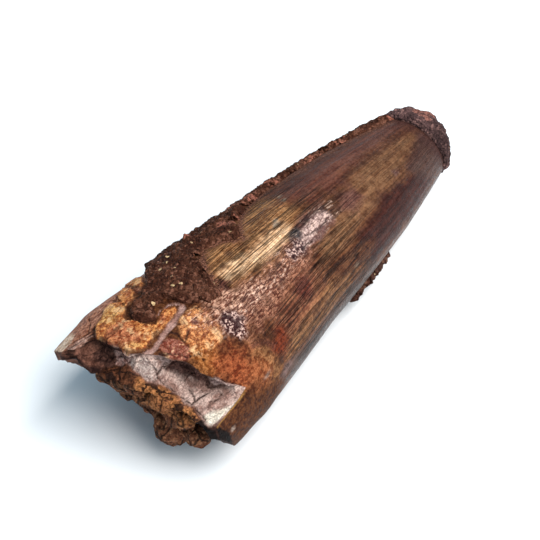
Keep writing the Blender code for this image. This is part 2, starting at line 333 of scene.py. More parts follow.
def gap_in_break(line):
    """Each vertex's distance, in mm, from a line of (around, leg) over the break."""
    nearest = np.full(len(along), FAR)
    ends = [at_break(*spot) for spot in line]
    for start, end in zip(ends, ends[1:]):
        way = end - start
        share = np.clip((bare_points - start) @ way / max(way @ way, 1e-12), 0, 1)
        off = np.linalg.norm(bare_points - start - share[:, None] * way, axis=1)
        nearest = np.minimum(nearest, off / MM)
    return np.where(crown, FAR, nearest)


def facet(outline):
    """A mask of an outline of (around, leg) on the break."""
    turned_round = [(inward, turned) for turned, inward in outline]
    gap = gap_over(turned_round + turned_round[:1], leg, LEG_MM)
    depth = side_of(turned_round, leg) * gap + FACET_RAGGED * ragged_edge
    return np.where(crown, 0.0, smoothstep(*FACET_EDGE, depth))


# Stains of the enamel, the later over the earlier: name, softness and raggedness of the edge in
# mm, darkest and lightest colour, outlines of (along, around)
ENAMEL_STAINS = (
    ("tan", 2.0, 2.0, (0.170, 0.066, 0.024), (0.380, 0.185, 0.078), [
        [(15.9, 72), (18.4, 72), (24.5, 70), (29, 60), (33, 50), (35, 56), (35.8, 75), (34.6, 90),
         (32.5, 98), (27, 96), (21.7, 95), (15.9, 95), (11, 97), (11, 84)],
        [(11, 92), (17, 90), (31, 92), (36, 96), (33, 104), (29, 110), (25, 113), (20, 112), (14, 108),
         (11.5, 100)],
    ]),
    ("honey", 1.0, 1.0, (0.560, 0.310, 0.160), (0.900, 0.590, 0.360), [
        [(14.1, 99), (14.4, 94), (16.5, 94), (20.8, 96), (26.7, 96), (30.2, 97), (30.8, 101),
         (28.9, 106), (26.7, 108), (23.9, 109), (20.5, 106), (16.6, 103)],
    ]),
    ("olive", 1.6, 1.8, (0.100, 0.040, 0.018), (0.195, 0.094, 0.046), [
        [(64.4, 97), (67.3, 104), (69, 112), (65, 120), (60.8, 124), (57.3, 133), (53.7, 136),
         (50.6, 132), (46.6, 135), (39.5, 136), (35.4, 138), (29.9, 134), (31, 126), (34.5, 123),
         (38.1, 119), (44, 121), (46.9, 119), (46.6, 108), (48.6, 98), (56.2, 97)],
    ]),
    ("maroon_left", 2.4, 2.6, (0.080, 0.024, 0.015), (0.132, 0.049, 0.032), [
        [(35, 50), (45, 44), (60, 44), (70, 55), (70.5, 88), (67, 92), (64.3, 94), (57.4, 93),
         (50.9, 94), (47.6, 99), (44.5, 103), (41.3, 97), (36.6, 92), (35.6, 84)],
    ]),
    ("maroon_middle", 1.4, 2.0, (0.062, 0.021, 0.017), (0.135, 0.058, 0.042), [
        [(46.3, 108), (46.3, 121), (44.4, 124), (41.2, 124), (40.4, 116), (41.8, 108), (44, 104)],
    ]),
    ("maroon_right", 1.6, 2.4, (0.028, 0.008, 0.006), (0.058, 0.017, 0.012), [
        [(51.6, 131), (55.4, 136), (59.4, 138), (65.1, 146), (67.5, 172), (61.2, 180), (40, 180),
         (39, 165), (41.8, 157), (39.1, 150), (39.3, 141), (41.9, 138), (44.8, 138), (48.2, 134)],
    ]),
    ("dark_tip", 1.2, 1.2, (0.050, 0.022, 0.017), (0.085, 0.042, 0.031), [
        [(64.6, 122), (67, 116), (70, 114), (71.5, 125), (71.5, 178), (65.4, 170), (60.5, 146),
         (60.2, 131)],
    ]),
    ("flank_gold", 0.9, 1.2, (0.075, 0.024, 0.009), (0.225, 0.100, 0.042), [
        [(21.7, 145), (28, 152), (33, 160), (38, 168), (33, 174), (24, 172), (17.3, 168), (12, 168),
         (11.8, 158), (15, 156)],
    ]),
    # painted shade: the lower right flank darkened where it turns under
    ("flank_shade", 0.9, 1.2, (0.036, 0.013, 0.008), (0.090, 0.048, 0.036), [
        [(13, 172), (24, 174), (34, 176), (42, 176), (42, 200), (13, 200)],
    ]),
    ("rust_halo", 1.6, 1.6, (0.120, 0.039, 0.021), (0.270, 0.110, 0.056), [
        [(19, 128), (24.3, 126), (27.1, 130), (28.4, 139), (26.7, 149), (23.6, 153), (19, 153),
         (13, 152), (13, 140)],
    ]),
    ("rust_stain", 0.8, 1.0, (0.070, 0.017, 0.010), (0.160, 0.052, 0.036), [
        [(22.1, 131), (24.2, 132), (25.2, 139), (24.2, 145), (22.9, 147), (21.3, 144), (20.9, 139),
         (20.9, 134)],
    ]),
    ("purple_halo", 0.7, 0.8, (0.060, 0.021, 0.018), (0.135, 0.056, 0.040), [
        [(28.7, 106), (31.6, 102), (34.2, 100), (36.5, 101), (38.6, 104), (37.6, 111), (33.0, 112),
         (30.0, 113)],
    ]),
    ("small_stains", 0.5, 0.6, (0.075, 0.030, 0.016), (0.15, 0.070, 0.035), [
        [(18.9, 83), (19.7, 85), (19.3, 90), (18.3, 90), (18.0, 87)],
        [(26.0, 90), (27.2, 90), (27.2, 93), (26.0, 93)],
        [(15.5, 90), (16.6, 89), (16.4, 93), (15.3, 93)],
    ]),
    ("violet_spot", 0.4, 0.5, (0.080, 0.032, 0.026), (0.200, 0.110, 0.085), [
        [(56.2, 122), (57.8, 124), (57.6, 130), (55.9, 129)],
    ]),
    ("crust_stain", 0.5, 1.4, (0.032, 0.010, 0.007), (0.100, 0.034, 0.023), [
        [(7.6, 101), (9.2, 100), (11.4, 102), (13.2, 97), (14.0, 101), (12.6, 106), (10.6, 108.5),
         (8.8, 107.5), (7.4, 105)],
    ]),
    ("pale_fleck", 0.35, 0.5, (0.100, 0.080, 0.060), (0.340, 0.270, 0.200), [
        [(28.2, 94.5), (28.9, 91.5), (29.9, 89.5), (30.4, 90.5), (29.6, 92.5), (30.3, 94), (29.2, 95)],
        [(35.8, 70.5), (36.5, 71.5), (36.4, 74), (35.7, 73)],
        [(35.0, 78), (35.7, 79), (35.4, 81)],
        [(35.2, 158.5), (35.9, 160), (35.4, 161.5)],
    ]),
)
# Colours of the bare root, laid in the same way
ROOT_STAINS = (
    ("left_edge", 1.2, 1.2, (0.160, 0.044, 0.020), (0.450, 0.200, 0.120), [
        [(-9.5, 20), (12, 20), (12, 45), (8.5, 58), (2, 60), (-2, 56), (-5, 60), (-6.5, 56),
         (-9.6, 50)],
    ]),
    ("islands", 0.12, 0.45, (0.240, 0.056, 0.014), (0.640, 0.265, 0.085), [
        [(-5.4, 64), (-3.5, 58), (-1.5, 56), (0.4, 52), (1.8, 53), (1.9, 59), (1.0, 67), (-0.6, 71),
         (-1.6, 74), (-3.2, 73.5), (-5.4, 72), (-5.8, 67)],
        [(3.3, 48), (6.0, 43), (5.7, 54), (4.6, 61), (2.8, 64), (1.4, 65), (2.0, 58)],
        [(7.0, 37), (9.6, 35), (9.0, 49), (7.3, 58), (6.2, 60), (6.2, 52)],
        [(-5.6, 73), (-3.2, 75), (-1.3, 75), (-0.4, 80), (-0.5, 86), (0.6, 90), (0.2, 93), (-2.2, 95),
         (-3.9, 97), (-4.8, 95), (-6, 90), (-5.6, 83)],
        [(0.9, 89), (2.5, 88), (3.4, 87), (4.9, 90), (4.7, 93), (2.7, 95), (1.0, 96), (-0.2, 95.5),
         (-1.4, 95)],
    ]),
    ("island_rust", 0.6, 1.3, (0.150, 0.028, 0.010), (0.500, 0.180, 0.080), [
        [(-5.6, 71), (-4.4, 68), (-2.6, 71), (-1.6, 76), (-2.4, 84), (-2.0, 91), (-4.0, 93),
         (-5.8, 86)],
        [(0.8, 90), (2.2, 89), (2.4, 93), (0.9, 94)],
        [(4.2, 50), (5.4, 50), (4.6, 58), (3.4, 59)],
    ]),
    ("island_yellow", 0.5, 0.9, (0.340, 0.125, 0.028), (0.660, 0.360, 0.130), [
        [(-3.4, 60), (-1.0, 57), (0.6, 55), (0.8, 62), (-1.0, 68), (-2.6, 68)],
        [(-5.2, 88), (-4.4, 88), (-3.4, 95), (-4.6, 94)],
        [(7.4, 44), (8.6, 42), (8.2, 50), (7.2, 54)],
    ]),
    ("orange", 0.5, 0.8, (0.220, 0.058, 0.017), (0.660, 0.280, 0.105), [
        [(3.6, 97.5), (5.5, 98), (6.7, 100), (7.2, 107), (6.6, 115), (5.4, 122), (3.0, 124), (0.9, 120),
         (-0.7, 117), (0.6, 111), (0.8, 105), (2.4, 99)],
    ]),
    ("gold_speckle", 1.6, 2.2, (0.110, 0.036, 0.012), (0.300, 0.135, 0.055), [
        [(7.8, 136), (9.6, 142), (10.5, 150), (10.5, 160), (11.2, 167), (9.8, 169), (7.9, 160),
         (7.2, 150), (6.6, 143)],
    ]),
    ("rust", 1.8, 2.4, (0.150, 0.034, 0.010), (0.340, 0.110, 0.042), [
        [(5.0, 139), (7.4, 145), (8.2, 156), (6.9, 161), (4.4, 159), (3.2, 156), (2.3, 151),
         (3.0, 145)],
    ]),
    ("yellow", 1.3, 1.4, (0.140, 0.036, 0.005), (0.360, 0.135, 0.040), [
        [(-0.4, 115), (1.5, 116), (3.0, 121), (3.0, 129), (1.3, 133), (-0.4, 133), (-1.0, 129),
         (-1.0, 122)],
    ]),
    ("rust_red", 2.4, 2.4, (0.110, 0.018, 0.005), (0.300, 0.078, 0.028), [
        [(3.8, 124), (5.9, 128), (6.3, 136), (5.7, 143), (3.8, 148), (2.0, 150), (0.9, 146), (0.6, 139),
         (0.9, 134), (2.2, 129)],
    ]),
    ("rust_brown", 1.2, 1.8, (0.050, 0.008, 0.003), (0.150, 0.028, 0.010), [
        [(13.5, 143), (14.6, 147), (13.8, 155), (13.6, 161), (12.1, 163), (10.9, 157), (10.5, 150),
         (11.9, 146)],
    ]),
    ("dark_blot", 1.0, 1.6, (0.055, 0.017, 0.010), (0.130, 0.042, 0.024), [
        [(9.2, 137), (11.1, 143), (11.0, 147), (9.2, 143), (8.4, 139)],
    ]),
    ("lilac_patch", 0.7, 0.8, (0.070, 0.035, 0.028), (0.17, 0.095, 0.080), [
        [(11.5, 167), (13.5, 168), (13, 175), (10.5, 176), (10, 171)],
    ]),
    ("speckled_red", 0.25, 0.5, (0.11, 0.022, 0.013), (0.31, 0.115, 0.078), [
        [(-1.7, 100), (-0.2, 101), (0.4, 106), (0.3, 112), (-0.9, 117), (-1.6, 117), (-2.4, 113),
         (-2.9, 110), (-3.0, 106), (-2.7, 101)],
    ]),
    ("right_lip", 0.12, 0.3, (0.140, 0.082, 0.070), (0.330, 0.225, 0.200), [
        [(-1.4, 136), (-0.2, 134.5), (0.6, 141), (1.9, 149), (1.0, 150.5), (-0.2, 148), (-1.4, 143)],
    ]),
    ("purple_spot", 0.15, 0.4, (0.060, 0.019, 0.014), (0.14, 0.050, 0.034), [
        [(4.6, 102), (5.3, 104), (4.5, 107), (3.9, 106), (3.8, 104)],
    ]),
    ("corner_pink", 0.3, 0.5, (0.240, 0.115, 0.080), (0.460, 0.270, 0.210), [
        [(-8.6, 50), (-5.4, 57), (-4.9, 63), (-6.2, 62), (-9.5, 56)],
    ]),
    ("corner_pale", 0.3, 0.5, (0.44, 0.25, 0.155), (0.76, 0.58, 0.44), [
        [(-9.4, 30), (-5.0, 31), (-4.8, 38), (-5.6, 44), (-7.2, 47.5), (-9.2, 47)],
    ]),
    # painted shadow, not a stain: a near-black strip under the right edge of the break
    ("rim_shadow", 0.15, 0.9, (0.002, 0.001, 0.001), (0.010, 0.005, 0.004), [
        [(-6.0, 157.5), (-4.5, 159.5), (-3.9, 165), (-3.2, 171), (-2.8, 176), (-2.5, 181), (-2.2, 190),
         (-6.0, 190)],
    ]),
    ("pale_dots", 0.2, 0.3, (0.150, 0.095, 0.070), (0.290, 0.210, 0.170), [
        [(-2.2, 170), (-1.6, 171), (-1.6, 174), (-2.3, 174)],
        [(7.0, 158), (7.8, 159), (7.6, 161), (6.8, 160)],
    ]),
)
# Other lines and patches of the crown, in (along, around)
DENTINE_STRIP = [(-5.2, 98), (-3.3, 100), (0.3, 97.2), (2.4, 96.6), (4.5, 95.2), (5.6, 93.5)]
OCHRE_LINE = [(2.4, 155), (-0.6, 157.8), (-4.2, 161)]
CREST = [
    (39, 110), (35, 111), (31, 114), (27, 117), (22, 118), (17, 118), (12, 118), (8, 117), (5.5, 110),
    (4.5, 104),
]
SCALLOPED_LINE = [(2.2, 86.5), (3.0, 85.5), (3.8, 87), (4.6, 86.5), (5.2, 88.5), (5.6, 91)]
ROUGH_BAND = [
    [(26.6, 107), (28.3, 110), (29.0, 119), (30.2, 125), (27.2, 129), (24.0, 128), (21.3, 129),
     (18.3, 133), (15.4, 136), (11.8, 134), (8.7, 133), (6.5, 127), (5.6, 118), (5.6, 109), (7.3, 104),
     (10.2, 106), (12.6, 109), (15.6, 108), (19.2, 110), (22.0, 111)],
]
GLAZE = [
    [(28.4, 112), (31.3, 108), (34.3, 106), (36.4, 107), (37.8, 110), (38.2, 117), (36.7, 121),
     (34.1, 122), (31.7, 122), (29.2, 123), (27.4, 121), (26.3, 115)],
]
# a patch that is partly pink colour and partly a painted highlight
PINK_HIGHLIGHT = [
    [(9.0, 102), (13.2, 108), (17.0, 116), (15.6, 121), (11.5, 118), (8.8, 115), (7.8, 107)],
]
DARK_PATCH = [
    [(29.1, 104), (30.9, 105), (30.9, 110), (29.8, 114), (27.9, 113), (27.6, 109)],
]
CRUST_BORDER = [  # where the flank crust ends on the enamel
    (1, 89), (3, 82), (3.6, 80.5), (5.1, 87), (6.7, 95), (8.8, 103), (11.2, 104), (12.7, 94),
    (14.4, 80), (17.5, 70), (20.2, 72), (22.2, 82), (23.3, 83), (25.4, 74), (30.3, 58), (36, 51),
    (50, 50), (60, 52), (68, 60), (71.5, 66),
]
PIT_FIELDS = [
    [(8.6, 111), (10.1, 115), (10.6, 123), (9.0, 130), (7.0, 131), (6.5, 123), (7.0, 116)],
    [(25.3, 112), (29, 112), (30.5, 116), (28, 122), (25.5, 120)],
]
FINE_CRACKS = [
    [(30.5, 113), (31.7, 115), (34.0, 116), (35.8, 116), (37.0, 114)],
    [(28.0, 119), (29.5, 118.5), (31.0, 120)],
    [(-3.4, 104), (-1.4, 112), (-1.2, 116), (0.7, 119), (0.4, 124)],
    [(1.3, 151), (2.4, 156), (3.7, 161), (4.6, 162)],
    [(-0.7, 136), (-0.1, 134), (0.7, 141), (2.0, 149)], [(6.2, 98), (8.2, 103), (9, 109)],
    [(-7.6, 44), (-6.8, 52), (-5.2, 57), (-3.6, 56)], [(-5.2, 57), (-3.0, 50), (-1.8, 43)],
    [(-8.9, 50), (-7.0, 56), (-5.0, 60)], [(0.6, 97), (1.2, 103), (0.7, 107), (0.6, 112), (-0.8, 117)],
    [(6.9, 98), (6.2, 104), (7.0, 110)], [(2.5, 99), (3.2, 102), (2.6, 106), (1.2, 108)],
    [(2.6, 48), (2.2, 56), (1.6, 64)], [(6.0, 44), (6.0, 52), (5.0, 60)],
    [(-5.5, 63.5), (-4.7, 60), (-3.9, 56.5), (-3.5, 57)], [(-5.3, 62), (-4.4, 59.5), (-3.8, 57)],
]
# Lines of the break, in (around, leg): dark seams, the painted shade in the scoop, the painted shadow in
# the gap under the orange rind, and the painted shadow round the hollow
SEAMS = [
    [(100, 1.4), (108, 3.31), (111, 3.47), (118, 3.53), (126, 3.52), (136, 3.66), (142, 3.69),
     (151, 3.84), (157, 3.80)],
    [(133, 3.31), (140, 3.52), (144, 3.62), (145, 3.76)], [(145, 3.30), (144, 3.48), (145, 3.64)],
    [(149, 3.22), (150, 3.38), (149, 3.51)], [(113, 2.89), (110, 3.14), (110, 3.43)],
    [(138, 3.02), (141, 3.09), (144, 3.03), (146, 2.98), (148, 2.5)], [(89, 3.2), (92, 1.3), (96, 0.6)],
    [(61, 0.6), (66, 3.2), (72, 3.3), (79, 3.2), (86, 3.1)],
    [(76, 3.4), (80, 3.1), (84, 3.2), (88, 3.25)],
]
SCOOP_SHADE = [(111, 2.4), (117, 2.3), (124, 2.6), (131, 2.4), (137, 2.2), (142, 2.9)]
UNDER_ISLANDS = [(60, 0.3), (66, 0.5), (71, 0.7), (76, 1.0), (81, 1.1), (85, 0.8)]
HOLLOW_SHADOW_LINE = [(40, 3.7), (46, 3.8), (54, 4.0), (61, 3.95), (66, 3.9), (72, 3.75)]
# Facets of the break: name, darkest and lightest colour, outline of (around, leg)
FACETS = (
    ("lilac_left", (0.30, 0.150, 0.120), (0.62, 0.37, 0.31), [
        (70, 3.3), (74, 2.4), (77, 1.2), (90, 0.2), (92, 1.5), (89, 3.25), (82, 3.5), (75, 3.45),
    ]),
    ("grey_facet", (0.12, 0.080, 0.070), (0.27, 0.18, 0.16), [
        (102.5, 1.6), (101, 0.2), (106, 0.2), (112, 2.6), (111, 3.1), (109, 3.3),
    ]),
    ("pale_facet", (0.26, 0.17, 0.145), (0.49, 0.365, 0.315), [
        (89, 3.2), (93, 1.6), (98, 0.9), (101, 1.6), (108, 3.3), (112, 3.5), (109, 3.62), (101, 3.5),
        (93, 3.3),
    ]),
    ("bright_chip", (0.40, 0.27, 0.225), (0.74, 0.56, 0.47), [
        (91, 3.15), (93.5, 1.7), (97.5, 1.2), (100, 2.6), (97, 3.35),
    ]),
    # partly the scoop's brown, partly painted shade: its steep upper wall darkened
    ("shaded_scoop", (0.030, 0.011, 0.009), (0.105, 0.050, 0.040), [
        (112, 3.14), (113, 2.9), (112, 0.6), (118, 0.5), (125, 0.3), (136, 2.3), (140, 3.0),
        (139, 3.10), (131, 2.8), (123, 2.98),
    ]),
    ("right_facet", (0.17, 0.10, 0.088), (0.39, 0.27, 0.24), [
        (136, 2.3), (135, 0.3), (140, 0.15), (147, 0.2), (148, 2.5), (142, 3.0),
    ]),
    ("cream", (0.60, 0.51, 0.41), (0.72, 0.64, 0.54), [
        (154.8, 3.82), (154.6, 3.66), (155.4, 3.5), (156.0, 3.1), (156.3, 2.0), (156.5, 0.6),
        (157, 0.3), (158, 2.2), (159, 3.0), (160.4, 3.3), (160.2, 3.6), (158, 3.78),
    ]),
    # partly the hollow's brown, partly painted shade: the recess under the rind darkened
    ("hollow_shade", (0.030, 0.012, 0.009), (0.110, 0.048, 0.035), [
        (61, 3.0), (70, 2.9), (76, 3.25), (77, 3.6), (70, 3.75), (62, 3.5),
    ]),
    # painted shadow: near black where the break lies under the right body's edge
    ("edge_shadow", (0.002, 0.001, 0.001), (0.012, 0.006, 0.005), [
        (161.2, 3.3), (163, 3.0), (178, 3.0), (178, 4.8), (155.5, 4.8), (155.5, 3.90), (158, 3.80),
        (160.3, 3.66),
    ]),
)
LEG_MM = 4.0  # how far apart two legs are taken to lie when an outline is filled
FACET_RAGGED = 0.3
FACET_EDGE = (-0.15, 0.2)  # mm inside its outline where a facet starts and is full
# Chips knocked out of the break: (around, leg, radius, depth), the last two in mm
CHIPS = (
    (54, 3.4, 2.2, 0.7), (61, 3.2, 2.4, 0.9), (69, 3.5, 2.2, 0.8), (77, 3.3, 1.5, 0.5),
    (82, 3.5, 1.6, 0.5), (87, 3.2, 1.4, 0.4), (92, 3.2, 1.8, 0.45), (91, 3.7, 1.6, 0.4),
    (98, 3.3, 2.0, 0.5), (100, 3.7, 1.7, 0.5), (106, 2.2, 1.5, 0.55), (108, 3.35, 1.3, 0.35),
    (112, 2.6, 1.6, 0.7), (118, 2.6, 2.4, 1.3), (124, 3.0, 2.6, 1.2), (116, 3.4, 1.8, 0.55),
    (123, 3.5, 1.7, 0.5), (130, 3.2, 2.0, 0.8), (133, 1.5, 1.7, 0.7), (134, 3.6, 1.6, 0.45),
    (140, 1.4, 1.6, 0.5), (139, 3.2, 1.7, 0.5), (145, 2.2, 1.6, 0.6), (143, 3.5, 1.6, 0.45),
    (148, 3.3, 1.9, 0.5), (150, 3.7, 1.5, 0.4), (155, 3.2, 1.7, 0.35), (156, 3.7, 1.4, 0.3),
    (127, 3.8, 1.4, 0.4), (112, 3.8, 1.4, 0.4),
)
DENTINE_END = np.array((  # around, and the leg beyond which sandstone still clings to the break
    (66, 3.1), (76, 3.4), (83, 3.45), (88, 3.25), (94, 3.35), (101, 3.55), (106, 3.70), (110, 3.68),
    (118, 3.54), (129, 3.54), (139, 3.75), (146, 3.81), (153, 3.86), (158, 3.95), (165, 6.0),
))

bare = falloff(8.0, 13.0, along + 2.0 * ragged_edge)
rough_band = patch(ROUGH_BAND, 1.3, 1.8)
glaze = patch(GLAZE, 0.6, 1.0)
pits = patch(PIT_FIELDS, 0.5, 0.8)
pit_noise = noise_at(bare_points, 0.8, 24.0)
stains = {
    name: patch(outlines, soft, ragged)
    for name, soft, ragged, _, _, outlines in ENAMEL_STAINS + ROOT_STAINS
}
strip = mark(gap_to(DENTINE_STRIP), 0.24, 0.40, 0.22)
strip = np.maximum(strip, mark(gap_to(SCALLOPED_LINE), 0.05, 0.18, 0.16))
cracks = mark(np.min([gap_to(line) for line in FINE_CRACKS], axis=0), 0.03, 0.16, 0.12)
seams = mark(np.min([gap_in_break(line) for line in SEAMS], axis=0), 0.02, 0.17, 0.10)
facets = {name: facet(outline) for name, _, _, outline in FACETS}
dentine_end = np.interp(around, DENTINE_END[:, 0], DENTINE_END[:, 1]) + 0.10 * ragged_edge
clinging = smoothstep(-0.05, 0.15, leg - dentine_end) * plateau(around, 66, 74, 157, 160)

# The tooth's relief, in mm. The lumps are (height, size, seed) as above.
RIDGES = 32  # all the way round; the finer grooves are in the material
RIDGE_HEIGHT = 0.02
ROOT_LUMPS = ((0.20, 5.0, 0.0), (0.06, 2.4, 32.0))
RIND_SHARES = (("orange", 0.6), ("speckled_red", 0.5), ("islands", 1.0))  # of the rind's height
RIND_HEIGHT = 0.34
RIND_LUMPS = ((0.10, 0.9, 21.0),)
STRIP_DEPTH = 0.18
CRACK_DEPTH = 0.16
CREST_LUMPS = ((0.05, 0.55, 22.0), (0.07, 1.4, 23.0))
PIT_DEPTH = 0.35
BREAK_LUMPS = ((0.06, 0.9, 31.0), (0.12, 2.4, 32.0))
SEAM_DEPTH = 0.22
SAND_HEIGHT = 0.35
SAND_LUMPS = ((0.40, 1.3, 33.0), (0.25, 0.6, 34.0))
FACET_RELIEF = (("pale_facet", 0.15), ("shaded_scoop", -0.25), ("right_facet", 0.12))

rind = np.max([stains[name] * share for name, share in RIND_SHARES], axis=0) * (1 - strip)
bowls = np.zeros(len(along))
for turned, inward, radius, deepest in CHIPS:
    away = np.linalg.norm(bare_points - at_break(turned, inward), axis=1) / (radius * MM)
    bowls = np.minimum(bowls, -deepest * (1 - away**2))
ridges = RIDGE_HEIGHT * np.cos(np.radians(around) * RIDGES)
height = np.where(crown, ridges * (1 - bare) + lumpy(bare_points, ROOT_LUMPS) * bare, 0.0)
height += rind * (RIND_HEIGHT + lumpy(bare_points, RIND_LUMPS))
height -= STRIP_DEPTH * strip + CRACK_DEPTH * cracks
height += (rough_band + glaze) * lumpy(bare_points, CREST_LUMPS)
height -= PIT_DEPTH * np.maximum(pits, 0.25 * rough_band) * smoothstep(0.15, 0.5, pit_noise)
height += plateau(leg, 0.4, 1.2, 4.6, 5.0) * (bowls + lumpy(bare_points, BREAK_LUMPS) - SEAM_DEPTH * seams)
height += clinging * (SAND_HEIGHT + lumpy(bare_points, SAND_LUMPS))
height += sum(relief * facets[name] for name, relief in FACET_RELIEF)
swell(tooth.data, height)

# The UV map runs around the tooth, and along it from WRAP_START on, in mm
WRAP_LENGTH = 100.0
WRAP_START = -20.0
wrap = tooth.data.uv_layers["wrap"].data
loop_verts = np.empty(len(tooth.data.loops), int)
tooth.data.loops.foreach_get("vertex_index", loop_verts)
uv = np.empty(len(wrap) * 2)
wrap.foreach_get("uv", uv)
uv = uv.reshape(-1, 2)
uv[:, 1] = (along[loop_verts] - WRAP_START) / WRAP_LENGTH
wrap.foreach_set("uv", uv.ravel())

dust_reach = 1.7 + 0.8 * smoothstep(30, 40, along)
on_dentine = plateau(leg, 0.2, 0.6, dentine_end - 0.04, dentine_end + 0.04)
# painted shadow: near black round the foot of the hollow, under the overhang of the rind, and under the
# break's right edge
hollow_shadow = 0.9 * mark(gap_in_break(HOLLOW_SHADOW_LINE), 0.1, 0.9, 0.5)
under_rind = plateau(leg, 0.6, 1.0, 3.12, 3.28) * plateau(around, 60, 66, 84, 88)
right_edge = 0.85 * smoothstep(0.2, 0.6, leg) * smoothstep(159, 163, around)
# painted shadow in the gap under the overhanging orange rind
rind_gap_shadow = mark(gap_in_break(UNDER_ISLANDS), 0.25, 0.65, 0.25)
masks = {
    **stains,
    **facets,
    "far_side": falloff(52, 84, around) * smoothstep(14, 24, along),
    "fluted": (1 - 0.6 * smoothstep(34, 48, along)) * (1 - 0.9 * glaze),
    "rough_band": rough_band,
    "glaze": glaze,
    "dark_patch": patch(DARK_PATCH, 0.4, 0.5),
    "pink_highlight_patch": patch(PINK_HIGHLIGHT, 0.9, 1.8),
    "crest": mark(gap_to(CREST), 0.2, 2.7, 1.0),
    "pits": pits,
    "pit_holes": pits * smoothstep(0.0, 0.35, pit_noise),
    "crust_dust": mark(gap_to(CRUST_BORDER), -0.2, dust_reach, 0.9),
    "tip_shade": smoothstep(67.0, 71.0, along + ragged_edge),
    "bare_root": np.where(crown, bare, 1.0),
    "strip": strip,
    "ochre_line": mark(gap_to(OCHRE_LINE), 0.05, 0.30, 0.25),
    "broken": smoothstep(0.3, 1.0, leg),
    "dentine": on_dentine * plateau(around, 72, 84, 158, 161),
    "cemented_sand": clinging,
    "golden": smoothstep(92, 112, around),
    "shadow_fringe": np.maximum.reduce([hollow_shadow, under_rind, right_edge]),
    "scoop_shade": mark(gap_in_break(SCOOP_SHADE), 0.2, 1.7, 0.4) * smoothstep(0.9, 1.5, leg),
    # cracks and seams, and the painted shadow in the gap under the rind
    "cracks": np.maximum.reduce([cracks, seams, rind_gap_shadow]),
}
for name, values in masks.items():
    add_mask(tooth.data, name, values)


# The material. A tone is a pair of colours, the darkest and the lightest.
TOOTH_TONES = {
    "enamel": ((0.048, 0.014, 0.007), (0.120, 0.046, 0.021)),
    "glaze": ((0.135, 0.057, 0.046), (0.66, 0.45, 0.39)),
    "dark_patch": ((0.03, 0.02, 0.02), (0.13, 0.105, 0.10)),
    "rough_band": ((0.090, 0.024, 0.014), (0.400, 0.175, 0.105)),
    "pink_highlight_patch": ((0.150, 0.050, 0.030), (0.68, 0.39, 0.27)),
    "pits": ((0.040, 0.008, 0.008), (0.56, 0.36, 0.30)),
    "dust": ((0.035, 0.011, 0.007), (0.125, 0.050, 0.030)),
    "bare_root": ((0.036, 0.010, 0.004), (0.105, 0.036, 0.014)),
    "strip": ((0.24, 0.125, 0.10), (0.37, 0.22, 0.185)),
    "broken": ((0.062, 0.024, 0.016), (0.200, 0.086, 0.058)),
    "cemented_sand": ((0.110, 0.038, 0.018), (0.370, 0.145, 0.052)),
    "dentine": ((0.25, 0.140, 0.112), (0.52, 0.360, 0.305)),
    "scoop_dirt_and_shade": ((0.052, 0.021, 0.016), (0.150, 0.082, 0.064)),
}
TOOTH_TINTS = {
    "sand_grain": (0.230, 0.098, 0.062),
    "tip_shade": (0.050, 0.022, 0.020),
    "rind_highlight": (0.74, 0.44, 0.26),
    "ore_blotch": (0.70, 0.42, 0.21),
    "ore_vein": (0.15, 0.030, 0.012),
    "rind_net": (0.11, 0.028, 0.014),
    "island_edge_shadow": (0.05, 0.018, 0.012),
    "crest_highlight": (0.72, 0.48, 0.37),
    "crest_crease": (0.065, 0.018, 0.012),
    "shadow_fringe": (0.012, 0.005, 0.005),
    "sand_joint": (0.016, 0.006, 0.004),
    "dentine_crack": (0.12, 0.065, 0.055),
    "ochre_line": (0.34, 0.17, 0.05),
    "pit_holes": (0.035, 0.010, 0.010),
    "cracks": (0.022, 0.008, 0.006),
}
# Dark lines along the enamel: which streaks, the noise at their middle, half their width in the
# same noise, and how dark they are
DARK_LINES = (("line", 0.50, 0.045, 0.68), ("line", 0.41, 0.030, 0.55), ("wisp", 0.50, 0.042, 0.55))


def add(tree, kind, sockets=None, **settings):
    """Adds a shader node. A socket is given a value, or the output that it takes its value from."""
    made = tree.nodes.new(kind)
    for name, value in settings.items():
        setattr(made, name, value)
    for name, value in (sockets or {}).items():
        if isinstance(value, bpy.types.NodeSocket):
            tree.links.new(value, made.inputs[name])
        else:
            made.inputs[name].default_value = value
    return made


def calc(tree, operation, first, second=0.0):
    return add(tree, "ShaderNodeMath", {0: first, 1: second}, operation=operation).outputs[0]


def times(tree, first, second):
    return calc(tree, "MULTIPLY", first, second)


def larger(tree, first, second):
    return calc(tree, "MAXIMUM", first, second)


def total(tree, *parts):
    """Adds up some values. Each part is a value and how much of it counts."""
    added = None
    for value, share in parts:
        value = value if share == 1 else times(tree, value, share)
        added = value if added is None else calc(tree, "ADD", added, value)
    return added


def off(tree, value, middle):
    """How far a value is from a middle one."""
    return calc(tree, "ABSOLUTE", calc(tree, "SUBTRACT", value, middle))


def ramp(tree, value, low, high, to_low=0.0, to_high=1.0):
    """A smooth step from to_low to to_high as value goes from low to high."""
    sockets = {"Value": value, "From Min": low, "From Max": high, "To Min": to_low, "To Max": to_high}
    return add(tree, "ShaderNodeMapRange", sockets, interpolation_type="SMOOTHSTEP").outputs[0]


def lay(tree, share, above, below):
    """One colour over another, by a share from 0 to 1."""
    made = add(tree, "ShaderNodeMix", data_type="RGBA")
    for index, value in ((0, share), (6, below), (7, above)):
        if isinstance(value, bpy.types.NodeSocket):
            tree.links.new(value, made.inputs[index])
        else:
            made.inputs[index].default_value = (*value, 1.0) if isinstance(value, tuple) else value
    return made.outputs[2]


def two_tone(tree, share, tone):
    """The darkest colour of a tone where share is 0, and its lightest where share is 1."""
    darkest, lightest = tone
    return lay(tree, share, lightest, darkest)


